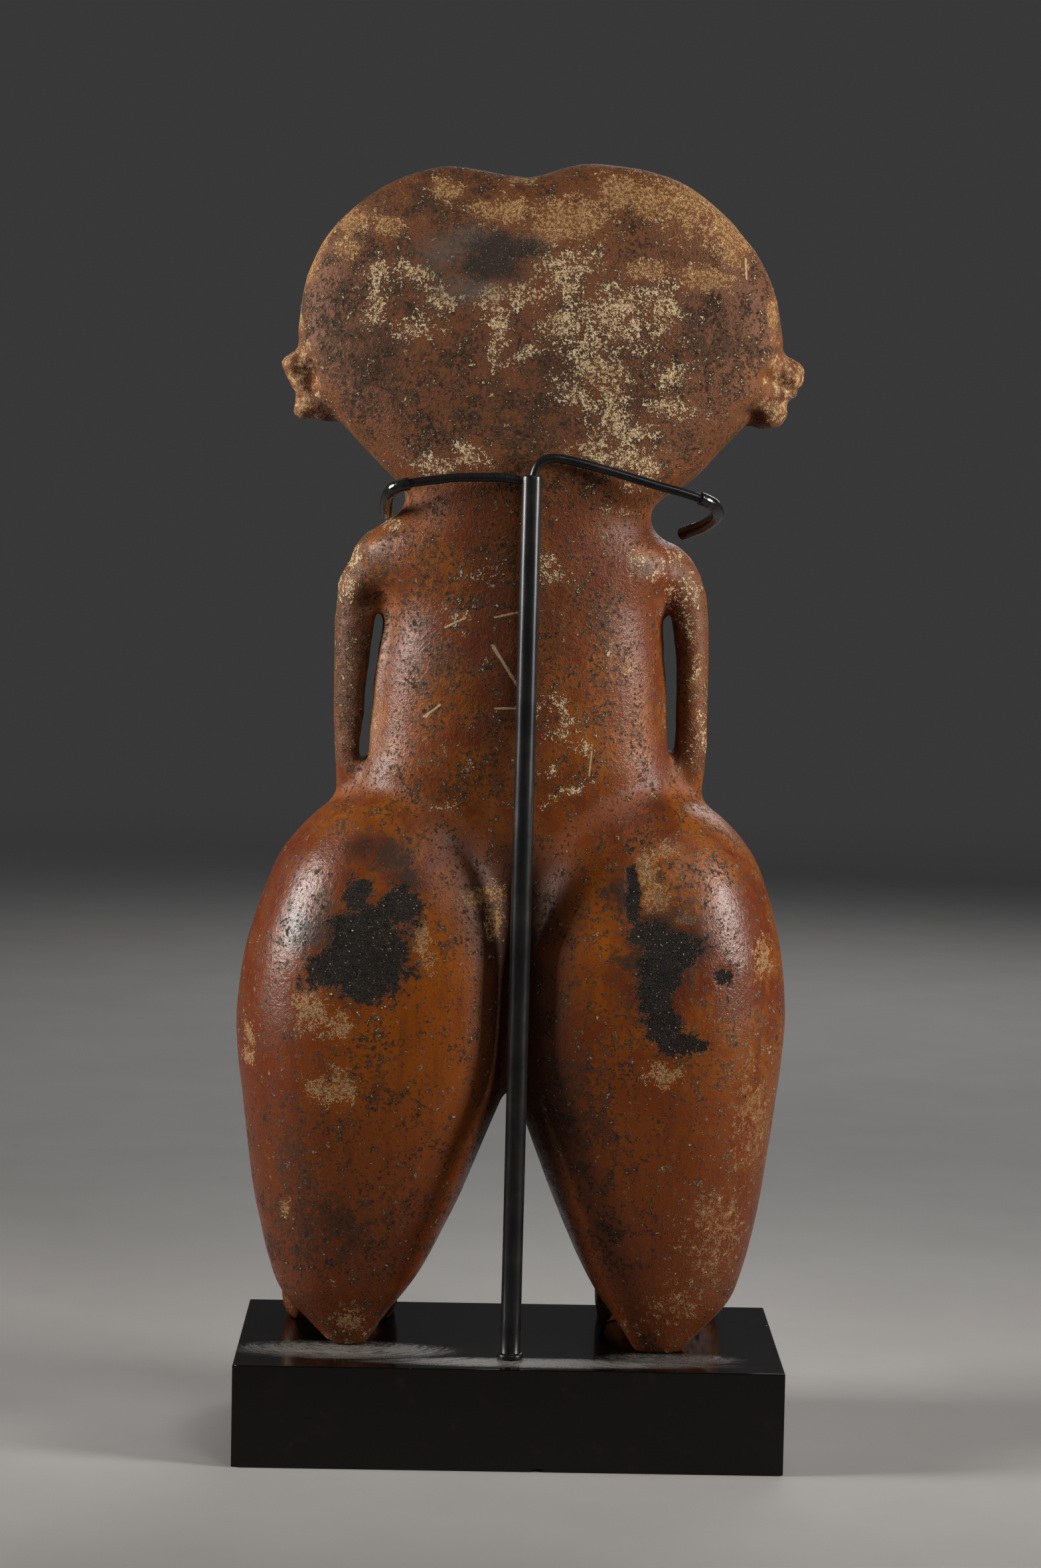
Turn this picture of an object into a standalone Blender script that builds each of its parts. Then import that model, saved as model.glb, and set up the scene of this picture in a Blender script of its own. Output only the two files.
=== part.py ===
"""A burnished clay figure on a plinth, steadied by a post whose two wire claws reach round its neck.

The sizes below are millimetres, and the meshes are in metres. +Z is up. The figure's back is towards -Y and its
face towards +Y, and its left arm is at -X when it is seen from the back. The origin is the middle of the plinth's
underside.
"""

import math

import bmesh
import bpy
import numpy as np
from mathutils import Matrix, Vector

MM = 0.001
GAP = 0.3

# Plinth
PLINTH_WIDTH = 170.0
PLINTH_DEPTH = 95.0
PLINTH_HEIGHT = 32.0
PLINTH_ARRIS = 0.4

# Post: a tube with a socket in its top and a bead at its foot
TUBE_RADIUS = 3.175
TUBE_SIDES = 20
POST_FOOT = Vector((0.4, -32.4, PLINTH_HEIGHT + GAP))
POST_TOP = Vector((2.0, -31.2, 305.8))
SOCKET_DEPTH = 12.0
SOCKET_RADIUS = 2.3
LIP = 0.6
BEAD_RADIUS = 4.1
BEAD_HEIGHT = 1.6

# Claws and the sleeves on their ends
WIRE_RADIUS = 1.4
WIRE_SIDES = 10
WIRE_STEP = 3.0
SLEEVE_RADIUS = 2.05
SLEEVE_OVERHANG = 1.2
LEFT_CLAW = (
    (-1.6, -31.0, 304.2),
    (-8.0, -30.8, 305.0),
    (-19.0, -30.7, 304.8),
    (-28.0, -30.7, 303.8),
    (-35.5, -30.4, 302.6),
    (-40.2, -28.2, 301.0),
    (-42.2, -22.8, 298.4),
    (-42.8, -15.0, 295.6),
    (-42.8, -7.5, 293.6),
)
LEFT_SLEEVE_FROM = 0.55
RIGHT_CLAW = (
    (2.1, -31.2, 296.6),
    (2.2, -31.2, 303.0),
    (2.7, -31.1, 306.4),
    (4.4, -31.0, 309.7),
    (8.6, -30.9, 311.2),
    (13.0, -30.8, 310.6),
    (24.4, -30.8, 307.9),
    (38.9, -30.8, 303.8),
    (52.0, -30.6, 300.2),
    (58.0, -27.0, 297.6),
    (59.6, -20.0, 294.8),
    (57.0, -11.0, 291.6),
    (50.6, -3.0, 288.6),
)
RIGHT_SLEEVE_FROM = 0.655

# Figure: the clay is shaped as overlapping bodies, then smoothed into one skin
SOLE = PLINTH_HEIGHT + GAP
BELOW_SOLE = 3.0
SKIN_GRAIN = 1.5
BODY_SMOOTHING = 14
DETAIL_SMOOTHING = 3
SKIN_TRIANGLES = 7150
RING_POINTS = 44
RING_STEP = 2.5
FINE_STEP = 2.0

# One leg. Height, outer side and inner side from the middle plane, back and front
LEGS_MIDDLE = -1.2
LEGS_LEAN = 0.03
LEGS_LEAN_ABOVE = 130.0
LEG_ROUNDNESS = 2.15
LEG_INNER_ROUNDNESS = 3.1
LEG_ROWS = (
    (30.0, 55.5, 44.5, -14.0, -5.0),
    (33.0, 57.0, 43.0, -16.5, -2.5),
    (38.0, 62.0, 39.5, -18.0, 4.0),
    (42.5, 67.2, 36.0, -19.5, 13.0),
    (47.0, 71.8, 31.8, -21.0, 21.0),
    (55.5, 75.3, 26.0, -23.0, 30.0),
    (64.0, 77.9, 21.5, -25.0, 35.0),
    (81.0, 81.4, 13.4, -29.0, 40.0),
    (100.0, 83.9, 6.0, -32.5, 43.0),
    (112.0, 85.4, 1.2, -34.5, 44.5),
    (120.0, 86.3, -1.0, -35.5, 45.0),
    (134.0, 87.1, -2.0, -36.5, 45.5),
    (151.0, 85.8, -2.0, -36.5, 45.0),
    (168.0, 82.0, -1.0, -35.5, 43.5),
    (177.0, 79.0, 1.5, -34.0, 42.5),
    (185.6, 75.3, 5.5, -31.5, 41.0),
    (194.0, 69.0, 12.0, -27.5, 38.0),
    (200.0, 62.5, 18.0, -23.5, 35.0),
    (205.0, 54.2, 26.0, -18.0, 30.0),
    (208.0, 45.5, 34.0, -9.0, 20.0),
)
# How far each heel sits towards the back and the middle, fading out up the leg
HEEL_BACK = {-1: -2.6, 1: -7.6}
HEEL_IN = {-1: 0.0, 1: 3.0}
HEEL_FADES_ABOVE = 110.0

# Neck, torso and hips. Height, middle, half width, back, front
TORSO_ROUNDNESS = 2.35
TORSO_ROWS = (
    (160.0, -1.0, 28.0, 0.0, 36.0),
    (172.0, -1.0, 38.0, -9.0, 39.0),
    (184.0, -1.0, 46.0, -18.5, 40.5),
    (196.0, -0.8, 51.0, -23.5, 41.0),
    (210.0, -0.5, 52.5, -25.5, 40.0),
    (219.0, -0.3, 49.0, -26.5, 38.5),
    (228.0, 0.0, 47.3, -27.0, 36.5),
    (245.0, 0.2, 45.4, -27.8, 33.0),
    (262.0, 0.7, 43.0, -28.0, 30.0),
    (269.0, 0.3, 44.5, -28.0, 28.5),
    (276.0, -0.9, 50.7, -27.6, 26.0),
    (281.0, -2.3, 51.1, -27.4, 25.0),
    (286.0, -3.2, 47.2, -27.4, 23.5),
    (290.0, -1.8, 42.0, -27.4, 22.5),
    (294.0, 0.8, 38.6, -27.6, 21.5),
    (300.0, 2.0, 38.0, -28.0, 21.0),
    (312.0, 4.0, 36.0, -26.0, 20.0),
)

# Head. Height, middle, half width, back, front
HEAD_ROUNDNESS = 2.6
HEAD_ROWS = (
    (292.0, 3.0, 30.0, -22.0, 16.0),
    (297.0, 3.0, 37.0, -26.0, 20.0),
    (301.0, 4.4, 42.2, -27.8, 22.5),
    (306.0, 5.4, 48.4, -28.2, 24.0),
    (313.0, 5.1, 54.9, -28.4, 25.0),
    (322.0, 4.9, 63.5, -28.2, 25.5),
    (334.0, 5.0, 72.0, -27.6, 25.0),
    (347.0, 4.4, 75.7, -26.4, 23.5),
    (361.0, 3.8, 74.1, -24.4, 20.8),
    (374.0, 3.3, 69.1, -21.8, 17.5),
    (384.0, 2.8, 61.8, -19.0, 14.0),
    (392.0, 3.2, 52.7, -16.4, 10.5),
    (397.5, 3.9, 43.2, -13.6, 7.0),
    (401.2, 4.1, 30.8, -10.4, 3.5),
    (403.2, 4.0, 14.5, -7.0, 0.0),
)
NOTCH_AT = -2.6
NOTCH_DEPTH = 6.6
NOTCH_WIDTH = 11.5
NOTCH_FADES_BELOW = 26.0

# Upper arm. Outer side from the middle plane, depth, height, half width (left, right), half depth
ARM_ROWS = (
    (48.5, -2.0, 282.0, (6.5, 6.5), 9.0),
    (54.6, -1.5, 276.0, (8.0, 8.0), 9.5),
    (58.2, -1.0, 268.0, (8.6, 7.6), 9.0),
    (59.0, -1.0, 259.0, (8.6, 6.4), 8.6),
    (59.1, -1.0, 247.0, (8.6, 5.5), 8.2),
    (59.2, -0.5, 235.0, (8.4, 5.5), 7.8),
    (59.1, 0.5, 221.0, (7.6, 5.6), 7.2),
    (58.4, 4.0, 209.5, (6.0, 5.4), 6.6),
)
# Forearm and hand. Distance from the middle plane, depth, height, half width, half depth
FOREARM_ROWS = (
    (51.5, 14.0, 204.5, 6.0, 6.0),
    (47.0, 26.0, 206.0, 5.8, 5.8),
    (38.0, 35.0, 211.0, 5.6, 5.4),
    (27.0, 39.5, 217.5, 6.6, 4.0),
    (19.0, 40.5, 221.0, 7.4, 3.4),
    (10.0, 39.5, 224.0, 6.0, 2.6),
)
ARMS_MIDDLE = 0.2
# Open slot between each arm and the body. Height, distance from the middle plane, half width
SLOT_ROWS = {
    -1: (
        (213.0, 49.7, 1.2),
        (219.0, 49.1, 1.6),
        (228.0, 48.3, 1.6),
        (240.0, 47.4, 1.6),
        (254.0, 45.7, 1.6),
        (265.0, 44.2, 1.2),
    ),
    1: (
        (215.0, 48.0, 1.1),
        (221.0, 47.8, 1.6),
        (235.0, 47.4, 1.7),
        (247.0, 47.0, 1.9),
        (258.0, 45.9, 1.8),
        (267.0, 44.9, 1.2),
    ),
}
SLOT_FRONT = 34.0
SLOT_BACK = -34.0
SLOT_ROUNDNESS = 4.0

# Front of each foot. Depth, half width, top height
FOOT_ROWS = (
    (17.0, 15.0, 52.0),
    (21.0, 18.4, 57.0),
    (26.0, 18.6, 58.0),
    (32.0, 18.2, 53.0),
    (39.0, 17.5, 46.0),
    (44.0, 16.5, 41.0),
    (46.0, 13.0, 38.0),
)
FOOT_ROUNDNESS = 3.4
FOOT_MIDDLE = {-1: 53.3, 1: 50.2}
FOOT_WIDER = {-1: 0.4, 1: 2.4}
FOOT_SKEW = {-1: 0.0, 1: 0.6}
# The hollow between each heel and the front of the foot, which leaves a thin edge at each side
ARCH_RADII = (14.2, 23.0, 13.0)
ARCH_MIDDLE_DEPTH = 7.0
ARCH_MIDDLE_BELOW = 2.0

# Small bodies: middle and radii
LEFT_EAR = (
    ((-69.0, 0.0, 338.5), (7.0, 8.0, 5.2)),
    ((-67.5, 0.5, 331.0), (6.4, 7.5, 5.5)),
    ((-64.5, 0.0, 325.5), (7.8, 8.0, 5.0)),
)
RIGHT_EAR = (
    ((78.8, 0.0, 339.0), (8.2, 8.0, 5.6)),
    ((76.0, 0.0, 332.5), (9.0, 7.5, 5.6)),
    ((74.5, 0.0, 326.5), (7.6, 7.8, 5.4)),
)
FACE_MIDDLE = 4.5
NOSE = ((0.0, 24.0, 338.0), (4.6, 8.0, 15.0))
NOSTRILS = ((3.6, 26.5, 326.5), (3.4, 4.4, 3.4))
BROW = ((25.0, 20.5, 357.0), (22.0, 4.5, 2.8))
EYE = ((27.0, 21.0, 348.5), (12.5, 4.0, 4.0))
LIPS = ((0.0, 25.0, 315.0), (9.5, 3.6, 3.4))
BREAST = ((21.0, 27.0, 262.0), (10.0, 8.0, 10.0))
BELLY = ((0.0, 20.0, 188.0), (50.0, 24.5, 48.0))
NAVEL = ((0.0, 43.5, 203.0), (3.2, 3.0, 3.2))
PALM = ((17.5, 39.5, 221.0), (9.5, 4.2, 7.0))
PALM_TILT = 0.35
BALL_SEGMENTS = 24
BALL_RINGS = 14


def clear_scene():
    for old in list(bpy.data.objects):
        bpy.data.objects.remove(old, do_unlink=True)


def finish_of(name, colour, roughness, metallic=0.0):
    material = bpy.data.materials.new(name)
    material.use_nodes = True
    shader = material.node_tree.nodes["Principled BSDF"]
    shader.inputs["Base Color"].default_value = (*colour, 1.0)
    shader.inputs["Roughness"].default_value = roughness
    shader.inputs["Metallic"].default_value = metallic
    return material


def object_of(name, bm, material=None):
    """A named object from a bmesh whose points are in millimetres."""
    bmesh.ops.scale(bm, vec=(MM, MM, MM), verts=bm.verts)
    bmesh.ops.recalc_face_normals(bm, faces=bm.faces)
    mesh = bpy.data.meshes.new(name)
    bm.to_mesh(mesh)
    bm.free()
    if material:
        mesh.materials.append(material)
    made = bpy.data.objects.new(name, mesh)
    bpy.context.scene.collection.objects.link(made)
    return made


def cutter_of(name, bm):
    made = object_of(name, bm)
    made.hide_render = True
    made.display_type = "WIRE"
    return made


def cut(target, cutter):
    modifier = target.modifiers.new("Cut " + cutter.name, "BOOLEAN")
    modifier.operation = "DIFFERENCE"
    modifier.solver = "EXACT"
    modifier.object = cutter


def smooth_rows(rows, places):
    """Reads a smooth curve through rows, whose first column is the place, without overshoot between them."""
    rows = np.array(rows, float)
    at, values = rows[:, 0], rows[:, 1:]
    width = np.diff(at)[:, None]
    slope = np.diff(values, axis=0) / width
    tangent = np.zeros_like(values)
    tangent[0], tangent[-1] = slope[0], slope[-1]
    product = slope[:-1] * slope[1:]
    total = slope[:-1] + slope[1:]
    inner = np.divide(2.0 * product, total, out=np.zeros_like(product), where=product > 0.0)
    tangent[1:-1] = inner
    places = np.asarray(places, float)
    low = np.clip(np.searchsorted(at, places, side="right") - 1, 0, len(at) - 2)
    span = width[low]
    t = ((places - at[low])[:, None]) / span
    rise = values[low + 1] - values[low]
    return (
        values[low]
        + rise * t * t * (3.0 - 2.0 * t)
        + span * tangent[low] * t * (1.0 - t) ** 2
        - span * tangent[low + 1] * t * t * (1.0 - t)
    )


def round_way(rows, step):
    """Points spaced by about one step along a smooth curve through rows of x, y, z and any sizes."""
    rows = np.array(rows, float)
    length = np.concatenate([[0.0], np.cumsum(np.linalg.norm(np.diff(rows[:, :3], axis=0), axis=1))])
    keyed = np.column_stack([length, rows])
    count = max(2, round(length[-1] / step) + 1)
    return smooth_rows(keyed, np.linspace(0.0, length[-1], count))


def unit_ring(points, roundness):
    """A closed outline between a circle (roundness 2) and a square."""
    turn = np.linspace(0.0, 2.0 * math.pi, points, endpoint=False)
    wave = np.column_stack([np.cos(turn), np.sin(turn)])
    return np.sign(wave) * np.abs(wave) ** (2.0 / roundness)


def skin_rings(bm, rings):
    """Joins rings of equal count into one closed body, with a fan on each end."""
    made = [[bm.verts.new(point) for point in ring] for ring in rings]
    for lower, upper in zip(made, made[1:]):
        for index in range(len(lower)):
            after = (index + 1) % len(lower)
            bm.faces.new((lower[index], lower[after], upper[after], upper[index]))
    for ring in (made[0], made[-1]):
        middle = bm.verts.new(sum((vert.co for vert in ring), Vector()) / len(ring))
        for index in range(len(ring)):
            bm.faces.new((ring[index], ring[(index + 1) % len(ring)], middle))


def add_stack(bm, sections, outline):
    """Level rings of one outline from rows of height, middle x, half width, back and front."""
    rings = []
    for height, middle, half_width, back, front in sections:
        half_depth = 0.5 * (front - back)
        across = middle + outline[:, 0] * half_width
        along = 0.5 * (front + back) + outline[:, 1] * half_depth
        rings.append(np.column_stack([across, along, np.full(len(outline), height)]))
    skin_rings(bm, rings)


def add_sweep(bm, stations):
    """Rings square to a path, from rows of x, y, z, half width and half depth."""
    outline = unit_ring(RING_POINTS // 2, 2.0)
    middles = stations[:, :3]
    tangents = np.gradient(middles, axis=0)
    rings = []
    side = Vector((1.0, 0.0, 0.0))
    for middle, tangent, (half_width, half_depth) in zip(middles, tangents, stations[:, 3:]):
        forward = Vector(tangent).normalized()
        side = (side - side.dot(forward) * forward).normalized()
        other = forward.cross(side)
        rings.append([Vector(middle) + side * u * half_width + other * v * half_depth for u, v in outline])
    skin_rings(bm, rings)


def add_ball(bm, middle, radii, angle=0.0, axis="Y"):
    place = Matrix.Translation(middle) @ Matrix.Rotation(angle, 4, axis) @ Matrix.Diagonal((*radii, 1.0))
    bmesh.ops.create_uvsphere(
        bm, u_segments=BALL_SEGMENTS, v_segments=BALL_RINGS, radius=1.0, matrix=place
    )


def levels(rows, step=RING_STEP):
    low, high = rows[0][0], rows[-1][0]
    return np.linspace(low, high, round((high - low) / step) + 1)


def leg_outline(side):
    """Fuller on the inner side, where the thighs lie close together."""
    outer = unit_ring(RING_POINTS, LEG_ROUNDNESS)
    inner = unit_ring(RING_POINTS, LEG_INNER_ROUNDNESS)
    return np.where(side * outer[:, :1] > 0.0, outer, inner)


def add_leg(bm, side):
    heights = levels(LEG_ROWS)
    outer, inner, back, front = smooth_rows(LEG_ROWS, heights).T
    heel = np.clip((HEEL_FADES_ABOVE - heights) / (HEEL_FADES_ABOVE - SOLE), 0.0, 1.0) ** 2
    inner = inner - HEEL_IN[side] * heel
    lean = LEGS_LEAN * np.maximum(heights - LEGS_LEAN_ABOVE, 0.0)
    middle = LEGS_MIDDLE + lean + side * 0.5 * (outer + inner)
    set_back = HEEL_BACK[side] * heel
    rows = np.column_stack([heights, middle, 0.5 * (outer - inner), back + set_back, front + set_back])
    add_stack(bm, rows, leg_outline(side))


def add_foot(bm, side):
    """The front of a foot, as upright rings from the ankle to the toes. The ankle end is set askew."""
    depths = levels(FOOT_ROWS, FINE_STEP)
    outline = unit_ring(RING_POINTS, FOOT_ROUNDNESS)
    middle = LEGS_MIDDLE + side * FOOT_MIDDLE[side]
    low = SOLE - BELOW_SOLE
    rings = []
    for depth, (half_width, top) in zip(depths, smooth_rows(FOOT_ROWS, depths)):
        half_height = 0.5 * (top - low)
        skew = FOOT_SKEW[side] * (1.0 - (depth - depths[0]) / (depths[-1] - depths[0]))
        across = outline[:, 0] * (half_width + FOOT_WIDER[side])
        up = low + half_height * (1.0 + outline[:, 1])
        rings.append(np.column_stack([middle + across, depth + skew * across, up]))
    skin_rings(bm, rings)


def add_torso(bm):
    heights = levels(TORSO_ROWS)
    rows = np.column_stack([heights, smooth_rows(TORSO_ROWS, heights)])
    add_stack(bm, rows, unit_ring(RING_POINTS, TORSO_ROUNDNESS))


def add_head(bm):
    """The broad flat head, with a shallow notch pressed into its top edge."""
    first = len(bm.verts)
    heights = levels(HEAD_ROWS, FINE_STEP)
    rows = np.column_stack([heights, smooth_rows(HEAD_ROWS, heights)])
    add_stack(bm, rows, unit_ring(RING_POINTS, HEAD_ROUNDNESS))
    bm.verts.ensure_lookup_table()
    top = HEAD_ROWS[-1][0]
    for vert in bm.verts[first:]:
        reach = max(0.0, 1.0 - (top - vert.co.z) / NOTCH_FADES_BELOW)
        across = (vert.co.x - NOTCH_AT) / NOTCH_WIDTH
        vert.co.z -= NOTCH_DEPTH * reach * math.exp(-across * across)


def add_arm(bm, side):
    rows = []
    for outer, depth, height, half_widths, half_depth in ARM_ROWS:
        half_width = half_widths[side > 0]
        rows.append((ARMS_MIDDLE + side * (outer - half_width), depth, height, half_width, half_depth))
    for out, depth, height, half_width, half_depth in FOREARM_ROWS:
        rows.append((ARMS_MIDDLE + side * out, depth, height, half_width, half_depth))
    add_sweep(bm, round_way(rows, RING_STEP))


def add_pairs(bm, middle_plane, parts):
    """Small bodies: one on the middle plane, or one on each side of it."""
    for (out, depth, height), radii in parts:
        for side in (-1, 1) if out else (1,):
            add_ball(bm, (middle_plane + side * out, depth, height), radii)


def add_hands(bm):
    (out, depth, height), radii = PALM
    for side in (-1, 1):
        add_ball(bm, (ARMS_MIDDLE + side * out, depth, height), radii, side * PALM_TILT)


def body_shells():
    """The large forms, whose joins are smoothed most."""
    bm = bmesh.new()
    add_torso(bm)
    add_head(bm)
    add_pairs(bm, LEGS_MIDDLE, (BELLY,))
    for side in (-1, 1):
        add_leg(bm, side)
        add_arm(bm, side)
    return bm


def add_details(bm):
    """The small forms: feet, ears, breasts, hands, and calm, plain features."""
    for side in (-1, 1):
        add_foot(bm, side)
    for middle, radii in LEFT_EAR + RIGHT_EAR:
        add_ball(bm, middle, radii)
    add_pairs(bm, LEGS_MIDDLE, (BREAST, NAVEL))
    add_pairs(bm, FACE_MIDDLE, (NOSE, NOSTRILS, BROW, EYE, LIPS))
    add_hands(bm)


def add_arches(bm):
    """The hollow under each foot, turned as the foot is."""
    half_width, half_depth, height = ARCH_RADII
    for side in (-1, 1):
        middle = (LEGS_MIDDLE + side * FOOT_MIDDLE[side], ARCH_MIDDLE_DEPTH, SOLE - ARCH_MIDDLE_BELOW)
        radii = (half_width + FOOT_WIDER[side], half_depth, height)
        add_ball(bm, middle, radii, math.atan(FOOT_SKEW[side]), "Z")


def add_slots(bm):
    for side, rows in SLOT_ROWS.items():
        heights = levels(rows)
        out, half_width = smooth_rows(rows, heights).T
        ends = np.tile([SLOT_BACK, SLOT_FRONT], (len(heights), 1))
        rows = np.column_stack([heights, ARMS_MIDDLE + side * out, half_width, ends])
        add_stack(bm, rows, unit_ring(RING_POINTS, SLOT_ROUNDNESS))


def hollows_cutter():
    bm = bmesh.new()
    add_arches(bm)
    add_slots(bm)
    return cutter_of("hollows", bm)


def add_block(bm, width, depth, height, top):
    """A block centred on the plinth's middle, whose top face lies at the height `top`."""
    size = Matrix.Diagonal((width, depth, height, 1.0))
    middle = Matrix.Translation((0.0, 0.0, top - 0.5 * height))
    bmesh.ops.create_cube(bm, size=1.0, matrix=middle @ size)


def floor_cutter():
    bm = bmesh.new()
    add_block(bm, 2.0 * PLINTH_WIDTH, 2.0 * PLINTH_DEPTH, PLINTH_HEIGHT, SOLE)
    return cutter_of("level of the soles", bm)


def add_skin(target, smoothing):
    """One closed skin round all bodies of the mesh, smoothed as a hand would."""
    skin = target.modifiers.new("Skin", "REMESH")
    skin.mode = "VOXEL"
    skin.voxel_size = SKIN_GRAIN * MM
    skin.use_smooth_shade = True
    smooth = target.modifiers.new("Smoothed by hand", "SMOOTH")
    smooth.factor = 0.5
    smooth.iterations = smoothing


def modelled(made):
    """The object's mesh as its modifiers leave it."""
    bpy.context.view_layer.update()
    return bpy.data.meshes.new_from_object(made.evaluated_get(bpy.context.evaluated_depsgraph_get()))


def make_figure():
    clay = finish_of("burnished clay", (0.30, 0.105, 0.045), 0.42)
    body = object_of("body", body_shells(), clay)
    add_skin(body, BODY_SMOOTHING)
    bm = bmesh.new()
    add_details(bm)
    bmesh.ops.scale(bm, vec=(MM, MM, MM), verts=bm.verts)
    bm.from_mesh(modelled(body))
    bpy.data.objects.remove(body)
    bmesh.ops.scale(bm, vec=(1.0 / MM, 1.0 / MM, 1.0 / MM), verts=bm.verts)
    figure = object_of("figure", bm, clay)
    add_skin(figure, DETAIL_SMOOTHING)
    cut(figure, hollows_cutter())
    ratio = SKIN_TRIANGLES / (2 * len(modelled(figure).polygons))
    fewer = figure.modifiers.new("Fewer faces", "DECIMATE")
    fewer.ratio = ratio
    cut(figure, floor_cutter())


def make_plinth():
    black = finish_of("dark polished plinth", (0.012, 0.008, 0.007), 0.16)
    bm = bmesh.new()
    add_block(bm, PLINTH_WIDTH, PLINTH_DEPTH, PLINTH_HEIGHT, PLINTH_HEIGHT)
    plinth = object_of("plinth", bm, black)
    arris = plinth.modifiers.new("Arris", "BEVEL")
    arris.width = PLINTH_ARRIS * MM
    arris.segments = 1


def make_post(metal):
    """The tube as one turned shape: bead, wall, rounded lip, then down into the socket."""
    length = (POST_TOP - POST_FOOT).length
    profile = [
        (0.0, 0.0),
        (BEAD_RADIUS, 0.0),
        (BEAD_RADIUS, 0.6 * BEAD_HEIGHT),
        (TUBE_RADIUS, BEAD_HEIGHT),
        (TUBE_RADIUS, length - LIP),
        (TUBE_RADIUS - 0.3 * LIP, length - 0.3 * LIP),
        (TUBE_RADIUS - LIP, length),
        (SOCKET_RADIUS, length),
        (SOCKET_RADIUS, length - SOCKET_DEPTH),
        (0.0, length - SOCKET_DEPTH),
    ]
    bm = bmesh.new()
    verts = [bm.verts.new((radius, 0.0, height)) for radius, height in profile]
    edges = [bm.edges.new(pair) for pair in zip(verts, verts[1:])]
    bmesh.ops.spin(
        bm,
        geom=verts + edges,
        axis=(0.0, 0.0, 1.0),
        cent=(0.0, 0.0, 0.0),
        angle=2.0 * math.pi,
        steps=TUBE_SIDES,
        use_duplicate=False,
    )
    bmesh.ops.remove_doubles(bm, verts=bm.verts, dist=0.001)
    lean = (POST_TOP - POST_FOOT).to_track_quat("Z", "Y").to_matrix().to_4x4()
    bmesh.ops.transform(bm, matrix=Matrix.Translation(POST_FOOT) @ lean, verts=bm.verts)
    object_of("post", bm, metal)


def add_rod(bm, way, radius):
    """A round rod along a path that starts within the plane square to the depth."""
    outline = unit_ring(WIRE_SIDES, 2.0) * radius
    side = Vector((0.0, 1.0, 0.0))
    rings = []
    for middle, tangent in zip(way, np.gradient(way, axis=0)):
        forward = Vector(tangent).normalized()
        side = (side - side.dot(forward) * forward).normalized()
        other = forward.cross(side)
        rings.append([Vector(middle) + side * u + other * v for u, v in outline])
    skin_rings(bm, rings)


def make_claw(hand, points, sleeve_from, metal, sleeve_finish):
    """A bent wire, and the sleeve that covers it from a part of its length to just past its end."""
    way = round_way(points, WIRE_STEP)
    bm = bmesh.new()
    add_rod(bm, way, WIRE_RADIUS)
    object_of(hand + "_claw", bm, metal)

    first = round(sleeve_from * (len(way) - 1))
    outward = way[-1] - way[-2]
    outward /= np.linalg.norm(outward)
    bm = bmesh.new()
    add_rod(bm, np.vstack([way[first:], way[-1] + outward * SLEEVE_OVERHANG]), SLEEVE_RADIUS)
    sleeve = object_of(hand + "_sleeve", bm, sleeve_finish)
    bm = bmesh.new()
    add_rod(bm, np.vstack([way[first - 1:], way[-1] + outward * GAP]), WIRE_RADIUS + GAP)
    cut(sleeve, cutter_of("bore of the " + hand + " sleeve", bm))


def main():
    clear_scene()
    metal = finish_of("blackened steel", (0.02, 0.02, 0.021), 0.32, 0.6)
    sleeve_finish = finish_of("shrunk sleeve", (0.008, 0.008, 0.008), 0.2)
    make_plinth()
    make_post(metal)
    make_claw("left", LEFT_CLAW, LEFT_SLEEVE_FROM, metal, sleeve_finish)
    make_claw("right", RIGHT_CLAW, RIGHT_SLEEVE_FROM, metal, sleeve_finish)
    make_figure()


main()
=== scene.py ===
# %% [markdown]
# # A burnished clay figure on its plinth
#
# The real object is a hollow fired pot in the shape of a standing person with a broad, notched head and swelling
# legs. It was covered in a red slip, which is a skin of thin, coloured clay, and rubbed with a smooth stone until
# it shone. It has been in the ground for a long time, so the shine is worn, cracked, crusted and spotted. A post
# with two bent wires steadies it on a dark polished plinth. This lesson builds each part in the frame of a
# finished technical model, so it first reads that model and keeps its outer box.

import math

import bmesh
import bpy
import numpy as np
from mathutils import Matrix, Vector


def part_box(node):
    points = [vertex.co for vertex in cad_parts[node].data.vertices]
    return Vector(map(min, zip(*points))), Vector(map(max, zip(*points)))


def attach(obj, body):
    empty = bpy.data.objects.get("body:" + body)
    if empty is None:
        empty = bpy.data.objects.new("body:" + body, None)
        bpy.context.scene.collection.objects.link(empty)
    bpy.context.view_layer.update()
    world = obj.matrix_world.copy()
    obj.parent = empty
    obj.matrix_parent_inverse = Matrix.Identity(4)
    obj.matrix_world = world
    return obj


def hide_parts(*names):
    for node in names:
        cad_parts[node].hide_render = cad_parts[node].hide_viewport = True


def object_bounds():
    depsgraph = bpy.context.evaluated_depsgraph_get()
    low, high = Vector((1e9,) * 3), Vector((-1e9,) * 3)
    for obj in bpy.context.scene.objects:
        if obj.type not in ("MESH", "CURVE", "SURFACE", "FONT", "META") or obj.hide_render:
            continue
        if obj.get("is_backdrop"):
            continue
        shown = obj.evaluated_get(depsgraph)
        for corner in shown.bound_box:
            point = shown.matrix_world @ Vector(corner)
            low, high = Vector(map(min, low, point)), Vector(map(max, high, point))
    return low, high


MM = 0.001
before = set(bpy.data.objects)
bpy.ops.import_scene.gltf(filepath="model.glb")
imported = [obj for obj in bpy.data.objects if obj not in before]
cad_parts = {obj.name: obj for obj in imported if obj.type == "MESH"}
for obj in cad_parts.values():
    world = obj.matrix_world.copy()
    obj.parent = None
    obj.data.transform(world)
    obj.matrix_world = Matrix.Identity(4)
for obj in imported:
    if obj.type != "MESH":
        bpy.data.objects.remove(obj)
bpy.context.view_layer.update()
print("nodes", sorted(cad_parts))

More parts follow.
